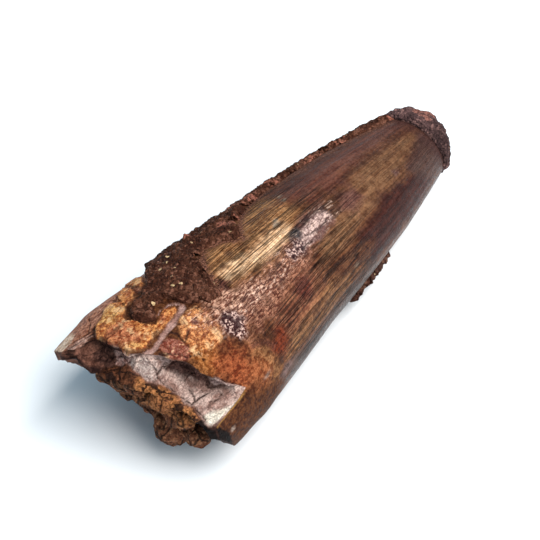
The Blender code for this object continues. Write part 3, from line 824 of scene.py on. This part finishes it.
def shade_by(tree, colour, factor):
    """A colour made darker or lighter by a factor."""
    made = add(tree, "ShaderNodeVectorMath", {0: colour}, operation="SCALE")
    tree.links.new(factor, made.inputs["Scale"])
    return made.outputs[0]


def grain(tree, where, size, detail, seed):
    """Noise from 0 to 1, mostly near 0.5, with lumps about `size` mm apart."""
    shifted = add(tree, "ShaderNodeVectorMath", {0: where, 1: (seed, 2.3 * seed, -1.7 * seed)})
    sockets = {"Vector": shifted.outputs[0], "Scale": 1 / (size * MM), "Detail": detail}
    return add(tree, "ShaderNodeTexNoise", sockets).outputs[0]


def streaks(tree, wrap, width, length, detail, seed, wander):
    """Noise drawn out along the tooth: `width` in degrees around it, `length` in mm."""
    scale = (360 / width, WRAP_LENGTH / length, 1.0)
    moved = add(tree, "ShaderNodeMapping", {"Vector": wrap, "Scale": scale, "Location": (seed, seed, 0)})
    sockets = {"Vector": moved.outputs[0], "Scale": 1.0, "Detail": detail, "Distortion": wander}
    return add(tree, "ShaderNodeTexNoise", sockets).outputs[0]


def pushed(tree, where, value, reach):
    """A place moved by a value, `reach` mm where it is 1, so that what is drawn there bends."""
    push = times(tree, value, reach * MM)
    return add(tree, "ShaderNodeVectorMath", {0: where, 1: push}).outputs[0]


def network(tree, where, size):
    """The distance, in cells, from the edges between cells about `size` mm wide."""
    sockets = {"Vector": where, "Scale": 1 / (size * MM)}
    return add(tree, "ShaderNodeTexVoronoi", sockets, feature="DISTANCE_TO_EDGE").outputs[0]


def bumps(tree, relief, strength, distance):
    sockets = {"Height": relief, "Strength": strength, "Distance": distance * MM}
    return add(tree, "ShaderNodeBump", sockets).outputs[0]


def mask(tree, name):
    return add(tree, "ShaderNodeAttribute", attribute_name=name).outputs["Fac"]


def paint(tree, name, paint_colour, colour, share=1.0):
    """Lays a colour over another where the mask of that name is 1, or only a share of it."""
    where = mask(tree, name)
    where = where if share == 1 else times(tree, where, share)
    return lay(tree, where, paint_colour, colour)


def new_finish(name, **constants):
    material = bpy.data.materials.new(name)
    material.use_nodes = True
    shader = material.node_tree.nodes["Principled BSDF"]
    for socket, value in constants.items():
        shader.inputs[socket.replace("_", " ")].default_value = value
    return material, material.node_tree, shader


def tooth_grains(tree):
    """The noises that the colours and the relief of the tooth share."""
    spot = add(tree, "ShaderNodeTexCoord").outputs["Object"]
    wrap = add(tree, "ShaderNodeUVMap", uv_map="wrap").outputs[0]
    fine = grain(tree, spot, 0.38, detail=2, seed=1.0)
    speck = grain(tree, spot, 0.75, detail=3, seed=2.0)
    bent = pushed(tree, spot, speck, 1.2)
    return SimpleNamespace(
        fine=fine,
        grit=grain(tree, spot, 0.24, detail=1, seed=9.0),
        speck=speck,
        lump=grain(tree, spot, 1.7, detail=4, seed=3.0),
        mottle=ramp(tree, total(tree, (speck, 0.6), (fine, 0.4)), 0.40, 0.60),
        bent=bent,
        net=network(tree, bent, 1.9),
        hair=streaks(tree, wrap, 0.85, 5.0, detail=1, seed=5.0, wander=0.5),
        line=streaks(tree, wrap, 4.2, 26.0, detail=2, seed=7.0, wander=0.35),
        wisp=streaks(tree, wrap, 2.6, 12.0, detail=1, seed=15.0, wander=0.35),
        band=streaks(tree, wrap, 8.0, 24.0, detail=2, seed=6.0, wander=0.3),
        glint=streaks(tree, wrap, 1.3, 1.2, detail=2, seed=8.0, wander=0.9),
    )


def enamel_colour(tree, grains):
    """Browns drawn out along the tooth, between dark hairlines. Gives the lines as well."""
    drawn = total(tree, (grains.hair, 0.12), (grains.band, 0.33))
    tone = calc(tree, "ADD", drawn, total(tree, (grains.speck, 0.30), (grains.lump, 0.25)))
    tone = ramp(tree, tone, 0.40, 0.60)
    colour = two_tone(tree, tone, TOOTH_TONES["enamel"])
    for name, _, _, darkest, lightest, _ in ENAMEL_STAINS:
        colour = paint(tree, name, two_tone(tree, tone, (darkest, lightest)), colour)
    # the lighter streaks, more of them towards the crest, are partly the glaze's pale colour and partly a
    # painted highlight
    glazed = total(tree, (grains.glint, 0.5), (mask(tree, "crest"), 0.35))
    glazed = two_tone(tree, ramp(tree, glazed, 0.44, 0.64), TOOTH_TONES["glaze"])
    colour = paint(tree, "glaze", glazed, colour, 0.9)
    colour = paint(tree, "dark_patch", two_tone(tree, grains.speck, TOOTH_TONES["dark_patch"]), colour)
    fluted = mask(tree, "fluted")
    grooves = 0.0
    for streak, middle, half, deepest in DARK_LINES:
        gap = off(tree, getattr(grains, streak), middle)
        dark_line = times(tree, ramp(tree, gap, half, half * 0.3, 0.0, deepest), fluted)
        colour = shade_by(tree, colour, calc(tree, "SUBTRACT", 1.0, dark_line))
        grooves = calc(tree, "ADD", grooves, dark_line)
    colour = shade_by(tree, colour, ramp(tree, grains.hair, 0.36, 0.60, 0.92, 1.12))
    colour = shade_by(tree, colour, ramp(tree, mask(tree, "far_side"), 0.0, 1.0, 1.0, 0.62))
    return colour, grooves


def dusted(tree, grains, colour):
    """Lays dust and grains of sand beside the crust, and a shade at the tip."""
    dusty = total(tree, (mask(tree, "crust_dust"), 0.42), (grains.grit, 0.6), (grains.speck, 0.4))
    dust = two_tone(tree, ramp(tree, grains.fine, 0.4, 0.6), TOOTH_TONES["dust"])
    colour = lay(tree, ramp(tree, dusty, 0.72, 0.84), dust, colour)
    sandy = times(tree, mask(tree, "crust_dust"), ramp(tree, grains.grit, 0.48, 0.60, 0.0, 0.75))
    colour = lay(tree, sandy, TOOTH_TINTS["sand_grain"], colour)
    return paint(tree, "tip_shade", TOOTH_TINTS["tip_shade"], colour, 0.75)


def root_colour(tree, grains, colour):
    """Lays the bare root and its patches of orange rind, which is rusty, blotched and veined, with painted
    glints and a painted shadow round each island.
    """
    colour = paint(tree, "bare_root", two_tone(tree, grains.mottle, TOOTH_TONES["bare_root"]), colour)
    for name, _, _, darkest, lightest, _ in ROOT_STAINS:
        colour = paint(tree, name, two_tone(tree, grains.mottle, (darkest, lightest)), colour)
    rusty = larger(tree, mask(tree, "speckled_red"), mask(tree, "orange"))
    # painted highlight: small bright glints on the rusty rind
    sparkle = times(tree, ramp(tree, grains.speck, 0.57, 0.65), ramp(tree, grains.lump, 0.45, 0.6))
    sparkle = times(tree, times(tree, sparkle, rusty), 0.8)
    colour = lay(tree, sparkle, TOOTH_TINTS["rind_highlight"], colour)
    islands = mask(tree, "islands")
    rind = larger(tree, rusty, islands)
    blotch = grain(tree, grains.bent, 1.5, detail=5, seed=12.0)
    blotched = times(tree, ramp(tree, blotch, 0.53, 0.66, 0.0, 0.75), rind)
    colour = lay(tree, blotched, TOOTH_TINTS["ore_blotch"], colour)
    veined = times(tree, ramp(tree, off(tree, blotch, 0.46), 0.030, 0.005, 0.0, 0.65), rind)
    colour = lay(tree, veined, TOOTH_TINTS["ore_vein"], colour)
    dark_net = times(tree, ramp(tree, grains.net, 0.06, 0.0), ramp(tree, grains.lump, 0.40, 0.55, 1.0, 0.2))
    dark_net = times(tree, times(tree, dark_net, rind), 0.7)
    colour = lay(tree, dark_net, TOOTH_TINTS["rind_net"], colour)
    # painted shadow: a dark line round the raised edge of each island
    edge = times(tree, times(tree, islands, calc(tree, "SUBTRACT", 1.0, islands)), 2.6)
    return lay(tree, edge, TOOTH_TINTS["island_edge_shadow"], colour)


def crest_colour(tree, grains, colour):
    """Lays the rough, creased band along the crest with painted gleams on it, its pits, and the strips of
    bare dentine.
    """
    reach = times(tree, mask(tree, "rough_band"), ramp(tree, grains.lump, 0.32, 0.55, 0.35, 1.0))
    rough = two_tone(tree, ramp(tree, grains.glint, 0.42, 0.54), TOOTH_TONES["rough_band"])
    colour = lay(tree, times(tree, reach, 0.8), rough, colour)
    # partly pink colour, partly painted highlight: pale pink streaks low on the crest
    pink = two_tone(tree, ramp(tree, grains.glint, 0.42, 0.56), TOOTH_TONES["pink_highlight_patch"])
    uneven = times(tree, mask(tree, "pink_highlight_patch"), ramp(tree, grains.lump, 0.36, 0.56, 0.3, 0.9))
    colour = lay(tree, uneven, pink, colour)
    # painted highlight: pale gleams along the crest
    gleam_spots = times(tree, mask(tree, "crest"), ramp(tree, grains.lump, 0.38, 0.56))
    gleam = times(tree, times(tree, ramp(tree, grains.glint, 0.54, 0.64), gleam_spots), 0.75)
    colour = lay(tree, gleam, TOOTH_TINTS["crest_highlight"], colour)
    crackle = network(tree, grains.bent, 0.95)
    crinkled = larger(tree, reach, mask(tree, "glaze"))
    creases = times(tree, ramp(tree, crackle, 0.10, 0.02, 0.0, 0.75), crinkled)
    colour = lay(tree, creases, TOOTH_TINTS["crest_crease"], colour)
    pitted = two_tone(tree, ramp(tree, grains.fine, 0.46, 0.60), TOOTH_TONES["pits"])
    colour = paint(tree, "pits", pitted, colour)
    dentine = two_tone(tree, ramp(tree, grains.lump, 0.4, 0.6), TOOTH_TONES["strip"])
    return paint(tree, "strip", dentine, colour)


def break_colour(tree, grains, colour):
    """Lays the break: pale dentine, dirt and painted shade in its hollows, sand that clings to it, and its
    facets.
    """
    uneven = total(tree, (grains.lump, 0.5), (grains.speck, 0.5))
    broken = two_tone(tree, ramp(tree, uneven, 0.38, 0.62), TOOTH_TONES["broken"])
    # painted shadow, near black, where the break lies under an overhang
    broken = paint(tree, "shadow_fringe", TOOTH_TINTS["shadow_fringe"], broken)
    colour = paint(tree, "broken", broken, colour)
    golden = total(tree, (mask(tree, "golden"), 1), (grains.lump, 0.8))
    sand = two_tone(tree, ramp(tree, golden, 0.62, 0.95), TOOTH_TONES["cemented_sand"])
    sand = shade_by(tree, sand, ramp(tree, grains.mottle, 0.0, 1.0, 0.45, 1.1))
    joints = ramp(tree, network(tree, grains.bent, 2.9), 0.085, 0.03, 0.0, 0.95)
    sand = lay(tree, joints, TOOTH_TINTS["sand_joint"], sand)
    colour = paint(tree, "cemented_sand", sand, colour)
    dentine = two_tone(tree, ramp(tree, grains.lump, 0.38, 0.60), TOOTH_TONES["dentine"])
    dentine = shade_by(tree, dentine, ramp(tree, grains.fine, 0.35, 0.6, 0.78, 1.08))
    cracked = ramp(tree, grains.net, 0.035, 0.0, 0.0, 0.55)
    dentine = lay(tree, cracked, TOOTH_TINTS["dentine_crack"], dentine)
    colour = paint(tree, "dentine", dentine, colour)
    # dirt and painted shade: the upper part of the scoop, under the rim, darkened
    shade_and_dirt = two_tone(tree, grains.mottle, TOOTH_TONES["scoop_dirt_and_shade"])
    colour = paint(tree, "scoop_shade", shade_and_dirt, colour, 0.85)
    for name, darkest, lightest, _ in FACETS:
        colour = paint(tree, name, two_tone(tree, grains.mottle, (darkest, lightest)), colour)
    return colour


def tooth_finish():
    material, tree, shader = new_finish("fossil_tooth", Specular_IOR_Level=0.06, Coat_Roughness=0.22)
    grains = tooth_grains(tree)
    colour, grooves = enamel_colour(tree, grains)
    colour = dusted(tree, grains, colour)
    colour = root_colour(tree, grains, colour)
    colour = crest_colour(tree, grains, colour)
    colour = break_colour(tree, grains, colour)
    colour = paint(tree, "ochre_line", TOOTH_TINTS["ochre_line"], colour, 0.8)
    colour = paint(tree, "pit_holes", TOOTH_TINTS["pit_holes"], colour)
    # cracks and seams, and the painted shadow under the rind, all laid in the same dark
    colour = paint(tree, "cracks", TOOTH_TINTS["cracks"], colour)
    colour = shade_by(tree, colour, ramp(tree, grains.grit, 0.30, 0.70, 0.72, 1.28))
    tree.links.new(colour, shader.inputs["Base Color"])

    bare, glaze = mask(tree, "bare_root"), mask(tree, "glaze")
    gloss = ramp(tree, grains.speck, 0.3, 0.7, 0.20, 0.40)
    dull = total(tree, (bare, 0.30), (mask(tree, "far_side"), 0.4))
    tree.links.new(calc(tree, "ADD", gloss, dull), shader.inputs["Roughness"])
    rough_skin = larger(tree, mask(tree, "rough_band"), glaze)
    coarse = times(tree, grains.fine, larger(tree, rough_skin, bare))
    relief = calc(tree, "SUBTRACT", coarse, times(tree, grooves, 0.4))
    relief = calc(tree, "ADD", relief, times(tree, times(tree, grains.glint, rough_skin), 0.8))
    normal = bumps(tree, relief, 0.9, 0.25)
    tree.links.new(normal, shader.inputs["Normal"])
    tree.links.new(normal, shader.inputs["Coat Normal"])
    varnish = larger(tree, times(tree, mask(tree, "crest"), 0.3), times(tree, glaze, 0.6))
    tree.links.new(varnish, shader.inputs["Coat Weight"])
    return material


tooth.data.materials.append(tooth_finish())


# --------------------------------------------------------------------------- sandstone in the root
# Desert sandstone that filled the pulp cavity and set hard: a plug with rounded nodules on its
# outer end, cemented to the tooth.

ROOT_NODULES = (  # along, across, up and radius, in mm
    (-3.4, -5.1, 8.2, 3.0), (-3.3, -9.8, 9.4, 2.0), (-2.5, 7.2, 11.2, 2.2), (-1.8, 4.0, 9.6, 2.2),
    (-0.9, 1.8, 8.0, 2.2), (-2.3, -1.6, 10.6, 2.4), (-3.8, -1.4, 14.0, 2.4), (-3.6, 3.2, 13.6, 2.5),
    (-3.3, -6.2, 12.4, 2.5), (-4.8, -5.2, 15.8, 2.0), (-4.0, -8.4, 13.4, 1.9), (-4.9, -0.4, 16.4, 1.9),
)
PLUG_SPARE = 1.12  # how much wider the plug is than the cavity, so that no gap shows
PLUG_SEGMENTS = 48
NODULE_VOXEL = 0.34
NODULE_LUMPS = ((0.45, 2.4, 41.0), (0.32, 1.1, 42.0), (0.14, 0.5, 43.0))
NODULE_SINK = 0.05


def sandstone_finish(name, dark, middle, light, glint, blush=None, seams=0.0, shaded=False):
    """Cemented sand, in darker and lighter lumps. Blush is the colour where its mask is 1."""
    material, tree, shader = new_finish(name, Specular_IOR_Level=0.08)
    spot = add(tree, "ShaderNodeTexCoord").outputs["Object"]
    cells = add(tree, "ShaderNodeTexVoronoi", {"Vector": spot, "Scale": 1 / (0.42 * MM)})
    chance = add(tree, "ShaderNodeSeparateColor", {"Color": cells.outputs["Color"]}).outputs[0]
    lump = grain(tree, spot, 2.5, detail=3, seed=2.0)
    fine = grain(tree, spot, 0.3, detail=2, seed=3.0)
    colour = lay(tree, ramp(tree, total(tree, (chance, 0.35), (lump, 1)), 0.50, 0.90), middle, dark)
    colour = lay(tree, ramp(tree, total(tree, (chance, 1), (lump, 0.9)), 1.18, 1.36), light, colour)
    colour = lay(tree, ramp(tree, chance, 0.995, 0.997), glint, colour)
    if blush:
        where = mask(tree, "blush")
        uneven = grain(tree, spot, 1.1, detail=3, seed=4.0)
        uneven = total(tree, (uneven, 1), (fine, 0.4), (chance, 0.25), (where, 0.35))
        rosy = times(tree, ramp(tree, where, 0.0, 0.5), ramp(tree, uneven, 0.90, 1.25, 0.0, 0.9))
        colour = lay(tree, rosy, blush, colour)
    colour = shade_by(tree, colour, ramp(tree, fine, 0.3, 0.6, 0.45, 1.15))
    # painted light and shade, by a factor from the shade mask
    if shaded:
        colour = shade_by(tree, colour, mask(tree, "shade"))
    if seams:
        net = network(tree, pushed(tree, spot, lump, 2), 2.9)
        colour = shade_by(tree, colour, ramp(tree, net, 0.01, 0.09, 1 - seams, 1.0))
    tree.links.new(colour, shader.inputs["Base Color"])
    tree.links.new(ramp(tree, chance, 0.0, 1.0, 0.95, 0.6), shader.inputs["Roughness"])
    relief = calc(tree, "SUBTRACT", fine, cells.outputs["Distance"])
    tree.links.new(bumps(tree, relief, 1.0, 0.22), shader.inputs["Normal"])
    return material


def add_plug(bm):
    """A tapered plug for the mouth of the pulp cavity, its outer end slanted like the mouth."""
    plug = bmesh.ops.create_cone(
        bm, cap_ends=True, segments=PLUG_SEGMENTS, depth=1.0,
        radius1=CAVITY_MOUTH_SHARE * PLUG_SPARE, radius2=CAVITY_FLOOR_SHARE * PLUG_SPARE,
    )["verts"]
    for vert in plug:
        turned = math.degrees(math.atan2(vert.co.y, vert.co.x))
        share = math.hypot(vert.co.x, vert.co.y)
        if vert.co.z < 0:
            vert.co = Vector(in_mouth(skin(0.0, turned, share=share)))
        else:
            vert.co = Vector(skin(CAVITY_FLOOR_ALONG, turned, share=share))


def merged(name, bm, voxel):
    """Joins the overlapping lumps of a mesh into one closed skin."""
    mesh = bpy.data.meshes.new(name)
    bm.to_mesh(mesh)
    bm.free()
    lumps = bpy.data.objects.new(name, mesh)
    bpy.context.scene.collection.objects.link(lumps)
    joined = lumps.modifiers.new("join", "REMESH")
    joined.mode = "VOXEL"
    joined.voxel_size = voxel * MM
    graph = bpy.context.evaluated_depsgraph_get()
    out = bmesh.new()
    out.from_object(lumps, graph)
    bpy.data.objects.remove(lumps)
    bpy.data.meshes.remove(mesh)
    return out


rock_parts = bmesh.new()
add_plug(rock_parts)
for nodule_along, across, up, radius in ROOT_NODULES:
    ball = bmesh.ops.create_icosphere(rock_parts, subdivisions=4, radius=radius * MM)["verts"]
    centre = Vector((nodule_along - CENTRE_ALONG, across - CENTRE_ACROSS, up - REST_FLAT_DEPTH)) * MM
    bmesh.ops.translate(rock_parts, verts=ball, vec=centre)
rock_skin = merged("root_lumps", rock_parts, NODULE_VOXEL)
face_outwards(rock_skin)
root_rock = new_piece("root_rock", rock_skin, "root_sandstone")
rock_points = mesh_points(root_rock.data)
swell(root_rock.data, lumpy(rock_points, NODULE_LUMPS) - NODULE_SINK)
rock_up = rock_points[:, 2] / MM + REST_FLAT_DEPTH + 0.8 * noise_at(rock_points, 1.6, 44.0)
rock_across = rock_points[:, 1] / MM + CENTRE_ACROSS
blush = smoothstep(11.5, 14.0, rock_up) * (1 - 0.8 * smoothstep(-3.5, -1.0, rock_across))
add_mask(root_rock.data, "blush", blush)
root_rock.data.materials.append(sandstone_finish(
    "knobbly_sandstone", (0.100, 0.034, 0.017), (0.165, 0.064, 0.030), (0.25, 0.105, 0.050),
    glint=(0.4, 0.2, 0.09), blush=(0.29, 0.110, 0.040), seams=0.8,
))


# ------------------------------------------------------------------- sandstone crusts on the sides
# What is left of the rock that the tooth lay in: a dark, sandy crust that covers one side from
# root to tip, and a thin skin low on the other side. Their edges are thin and broken.

FLANK_EDGES = np.array((  # along, and the angles around of the lower and the upper edge
    (-0.9, 77, 80), (-0.3, 74, 85), (0.5, 71, 88), (1.4, 68.5, 89), (2.1, 68.5, 87), (2.9, 68, 82),
    (3.5, 67, 80.5), (4.2, 66, 83), (5.1, 64, 87), (5.6, 63, 91), (6.7, 61, 95), (7.8, 57, 100),
    (8.8, 50, 103.5), (9.9, 46, 104), (11.2, 40, 104.5), (12.0, 34, 100), (12.7, 28, 94),
    (13.4, 22, 87), (14.4, 15, 80), (16.2, 5, 73.5), (17.5, -2, 70), (19.0, -8, 70), (20.2, -12, 72),
    (21.2, -14, 77), (22.2, -16, 82), (23.3, -17, 83), (24.4, -19, 79), (25.4, -20, 74),
    (27.8, -22, 66), (30.3, -24, 58), (33.4, -25, 53), (36.0, -26, 49), (40.0, -26, 47),
    (45.0, -24, 46), (50.0, -22, 43), (55.0, -20, 43), (60.0, -16, 47), (64.0, -13, 53), (68.0, -8, 60),
    (71.5, 0, 66),
))
UNDER_EDGES = np.array((
    (35.0, 210, 213), (36.5, 203, 221), (38.5, 199, 229), (41.0, 199, 235), (44.5, 202, 233),
    (48.0, 206, 223), (50.0, 211, 216),
))
SAND_BUMP = (18.8, 53, 1.1, 0.75)  # a lump that stands out: along, around, height, and width in mm
CRUST_RIM = 1.0  # mm over which the crust rises from its edge
CRUST_EDGE_SINK = 0.3  # how deep its outer side starts below the tooth's skin
CRUST_ROOT = 0.7  # how deep its hidden side lies in the tooth
CRUST_LUMPS = ((0.25, 3.0, 54.0), (0.34, 1.2, 55.0), (0.36, 0.55, 56.0))
EDGE_WANDER = ((11.0, 2.4, 57.0), (8.0, 1.3, 51.0), (6.0, 0.6, 52.0))  # degrees, size in mm, seed
CROWN_WANDER = (14.0, 4.5, 60.0)  # more of the same, but only on the crown


def sand_crust(name, edges, rows, columns, height, node):
    """A grid, extruded into a slab and laid on the tooth. Its edge sinks in where it is thin."""
    bm = bmesh.new()
    bmesh.ops.create_grid(bm, x_segments=columns - 1, y_segments=rows - 1, size=1.0)
    weathered = bmesh.ops.extrude_face_region(bm, geom=bm.faces[:])["geom"]
    raised = [item for item in weathered if isinstance(item, bmesh.types.BMVert)]
    bmesh.ops.translate(bm, verts=raised, vec=(0, 0, 1))
    face_outwards(bm)
    crust = new_piece(name, bm, node)
    grid = mesh_points(crust.data)
    column_share, row_share = (grid[:, 0] + 1) / 2, (grid[:, 1] + 1) / 2
    start, stop = edges[0, 0], edges[-1, 0]
    at = start + (stop - start) * row_share
    low, high = np.interp(at, edges[:, 0], edges[:, 1]), np.interp(at, edges[:, 0], edges[:, 2])
    turned = low + (high - low) * column_share
    laid = skin(at, turned)
    wander = lumpy(laid, (CROWN_WANDER,)) * smoothstep(26, 32, at) + lumpy(laid, EDGE_WANDER)
    turned = turned + wander * (2 * np.abs(column_share - 0.5))**2
    laid = skin(at, turned)
    from_sides = np.minimum(turned - low, high - turned) * degree_mm(at)
    from_edge = np.minimum(from_sides, np.minimum(at - start, stop - at))
    rise = smoothstep(-0.2, CRUST_RIM, from_edge + 0.35 * noise_at(laid, 0.9, 53.0))
    outside = grid[:, 2] > 0.5
    weathered = (height + CRUST_EDGE_SINK + lumpy(laid, CRUST_LUMPS)) * rise - CRUST_EDGE_SINK
    bump_along, bump_around, bump_height, bump_width = SAND_BUMP
    bump_away = np.linalg.norm(laid - skin(bump_along, bump_around), axis=1) / MM
    weathered += bump_height * np.exp(-(bump_away / bump_width)**2)
    move_points(crust.data, skin(at, turned, np.where(outside, weathered, -CRUST_ROOT)))
    turn_out(crust.data)
    # rosy patches, partly the crust's colour and partly a painted highlight along its lit outer part
    patchy = smoothstep(-0.25, 0.55, lumpy(laid, ((1.0, 4.5, 58.0), (0.6, 1.2, 59.0))))
    blush = smoothstep(22, 25, at) * (1 - 0.35 * smoothstep(50, 56, at)) * smoothstep(8, 22, turned)
    add_mask(crust.data, "blush", np.maximum(blush * patchy, falloff(0.3, 0.8, bump_away)))
    return crust


flank_crust = sand_crust(
    "flank_crust", FLANK_EDGES, rows=390, columns=90, height=1.05, node="flank_sandstone",
)
flank_crust.data.materials.append(sandstone_finish(
    "dark_crust", (0.042, 0.013, 0.007), (0.095, 0.035, 0.019), (0.155, 0.062, 0.038),
    glint=(0.55, 0.38, 0.20), blush=(0.33, 0.118, 0.078),
))
under_crust = sand_crust(
    "underside_crust", UNDER_EDGES, rows=70, columns=40, height=0.95, node="underside_sandstone",
)
under_crust.data.materials.append(sandstone_finish(
    "thin_crust", (0.040, 0.014, 0.009), (0.08, 0.032, 0.021), (0.14, 0.065, 0.042),
    glint=(0.5, 0.35, 0.2),
))


# ----------------------------------------------------------------------------- sandstone on the tip
# The tip has broken off square, and a cap of reddish rock is stuck over the break and a little
# way down the sides.

CAP_LENGTH = 4.1
CAP_START = 0.3  # mm past the end of the tooth's skin
CAP_OVERHANG = 0.25
CAP_LEAN = 0.55
CAP_LEAN_AROUND = 85.0
CAP_RINGS = np.array((  # how far down its length, and how wide it is there
    (0.0, 0.90), (0.12, 1.0), (0.45, 0.99), (0.8, 0.86), (1.0, 0.52),
))
CAP_CENTRE_WIDTH = 0.03  # how wide the last ring of the end is, of the first
CAP_CLEAR_OF_FLOOR = 0.3
CAP_LONGER = 0.9  # mm, where the cap reaches furthest
CAP_RELIEF = 0.45
CAP_RELIEF_SIZE = 2.6
CAP_LUMPS = ((0.25, 2.6, 64.0), (0.28, 1.2, 62.0), (0.22, 0.55, 63.0))
CAP_SEGMENTS = 240
CAP_SIDE_RINGS = 51
CAP_END_RINGS = 18

cap_tube = straight_tube(CAP_SEGMENTS, CAP_SIDE_RINGS + CAP_END_RINGS + 1)
cap_rock = new_piece("tip_rock", cap_tube, "tip_sandstone")
tube = mesh_points(cap_rock.data)
turned = np.degrees(np.arctan2(tube[:, 1], tube[:, 0]))
ring = np.round(tube[:, 2])
length_share = np.minimum(ring / CAP_SIDE_RINGS, 1.0)
width_share = np.interp(length_share, CAP_RINGS[:, 0], CAP_RINGS[:, 1])
width_share *= 1 - (1 - CAP_CENTRE_WIDTH) * np.maximum(ring - CAP_SIDE_RINGS, 0.0) / CAP_END_RINGS
overhang = CAP_OVERHANG + CAP_LEAN * np.cos(np.radians(turned - CAP_LEAN_AROUND))
laid = skin(np.full(len(turned), CROWN_LENGTH), turned, overhang, width_share)
uneven = 1.0 + CAP_RELIEF * noise_at(laid, CAP_RELIEF_SIZE) * length_share
reach = CAP_LENGTH + CAP_LONGER * plateau(turned, 60, 100, 150, 185)
laid[:, 0] += (CAP_START + reach * length_share * uneven) * MM
laid[:, 2] = np.maximum(laid[:, 2], CAP_CLEAR_OF_FLOOR * MM)
move_points(cap_rock.data, laid)
turn_out(cap_rock.data)
swell(cap_rock.data, lumpy(laid, CAP_LUMPS))
# the redder top is partly the rock's colour and partly painted light
cap_up = smoothstep(0.30, 0.55, length_share + 0.2 * noise_at(laid, 1.5, 65.0))
add_mask(cap_rock.data, "blush", cap_up * plateau(turned, 72, 84, 104, 116))
# painted light and shade: the cap lighter on its left side and darker towards its right
shade = 1.35 - 0.35 * smoothstep(70, 90, turned) - 0.45 * smoothstep(108, 130, turned)
add_mask(cap_rock.data, "shade", shade)
cap_rock.data.materials.append(sandstone_finish(
    "cap_sandstone", (0.065, 0.034, 0.033), (0.120, 0.064, 0.060), (0.21, 0.110, 0.096),
    glint=(0.5, 0.32, 0.22), blush=(0.25, 0.10, 0.075), shaded=True,
))


# ------------------------------------------------------------------------------------------ floor
# Not part of the tooth: a wide sheet of white paper that it lies on. It is only stage.

FLOOR_HALF_SIDE = 1.5

floor_mesh = bmesh.new()
bmesh.ops.create_grid(floor_mesh, x_segments=1, y_segments=1, size=FLOOR_HALF_SIDE)
sheet = bpy.data.meshes.new("floor")
floor_mesh.to_mesh(sheet)
floor_mesh.free()
floor = bpy.data.objects.new("floor", sheet)
bpy.context.scene.collection.objects.link(floor)
sheet.materials.append(new_finish("white_paper", Base_Color=(0.9, 0.92, 0.94, 1), Roughness=0.8)[0])


# ------------------------------------------------------------------------------- light and camera
# A large soft light above, a small lamp beside it, a pale blue room around the tooth, and the
# camera.

CAMERA_TARGET = Vector((-2.35, 1.9, 7.65)) * MM
CAMERA_AZIMUTH = math.radians(-54.8)
CAMERA_ELEVATION = math.radians(46.0)
CAMERA_DISTANCE = 230 * MM
LENS_MM = 94.0
SENSOR_MM = 36.0
LIGHT_DISTANCE = 0.7
WINDOW_DIRECTION = Vector((0.0, -0.50, 0.86)).normalized()
LAMP_DIRECTION = Vector((0.60, -0.20, 0.77)).normalized()
ROOM_LIGHT = (0.62, 0.84, 1.0)
ROOM_STRENGTH = 0.47


def area_light(name, direction, side, power, colour):
    light = bpy.data.lights.new(name, "AREA")
    light.size = side
    light.energy = power
    light.color = colour
    shining = bpy.data.objects.new(name, light)
    shining.location = direction * LIGHT_DISTANCE
    shining.rotation_euler = direction.to_track_quat("Z", "Y").to_euler()
    bpy.context.scene.collection.objects.link(shining)


scene = bpy.context.scene
scene.view_settings.view_transform = "Standard"
room = bpy.data.worlds.new("room")
room.use_nodes = True
room.node_tree.nodes["Background"].inputs["Color"].default_value = (*ROOM_LIGHT, 1.0)
room.node_tree.nodes["Background"].inputs["Strength"].default_value = ROOM_STRENGTH
scene.world = room
area_light("window", WINDOW_DIRECTION, side=0.55, power=8.0, colour=(1.0, 0.98, 0.95))
area_light("lamp", LAMP_DIRECTION, side=0.10, power=0.5, colour=(1.0, 1.0, 1.0))

lens = bpy.data.cameras.new("camera")
lens.lens = LENS_MM
lens.sensor_width = SENSOR_MM
lens.clip_start = 0.01
camera = bpy.data.objects.new("camera", lens)
back = Vector((
    math.sin(CAMERA_AZIMUTH) * math.cos(CAMERA_ELEVATION),
    -math.cos(CAMERA_AZIMUTH) * math.cos(CAMERA_ELEVATION),
    math.sin(CAMERA_ELEVATION),
))
camera.location = CAMERA_TARGET + back * CAMERA_DISTANCE
camera.rotation_euler = (-back).to_track_quat("-Z", "Y").to_euler()
scene.collection.objects.link(camera)
scene.camera = camera
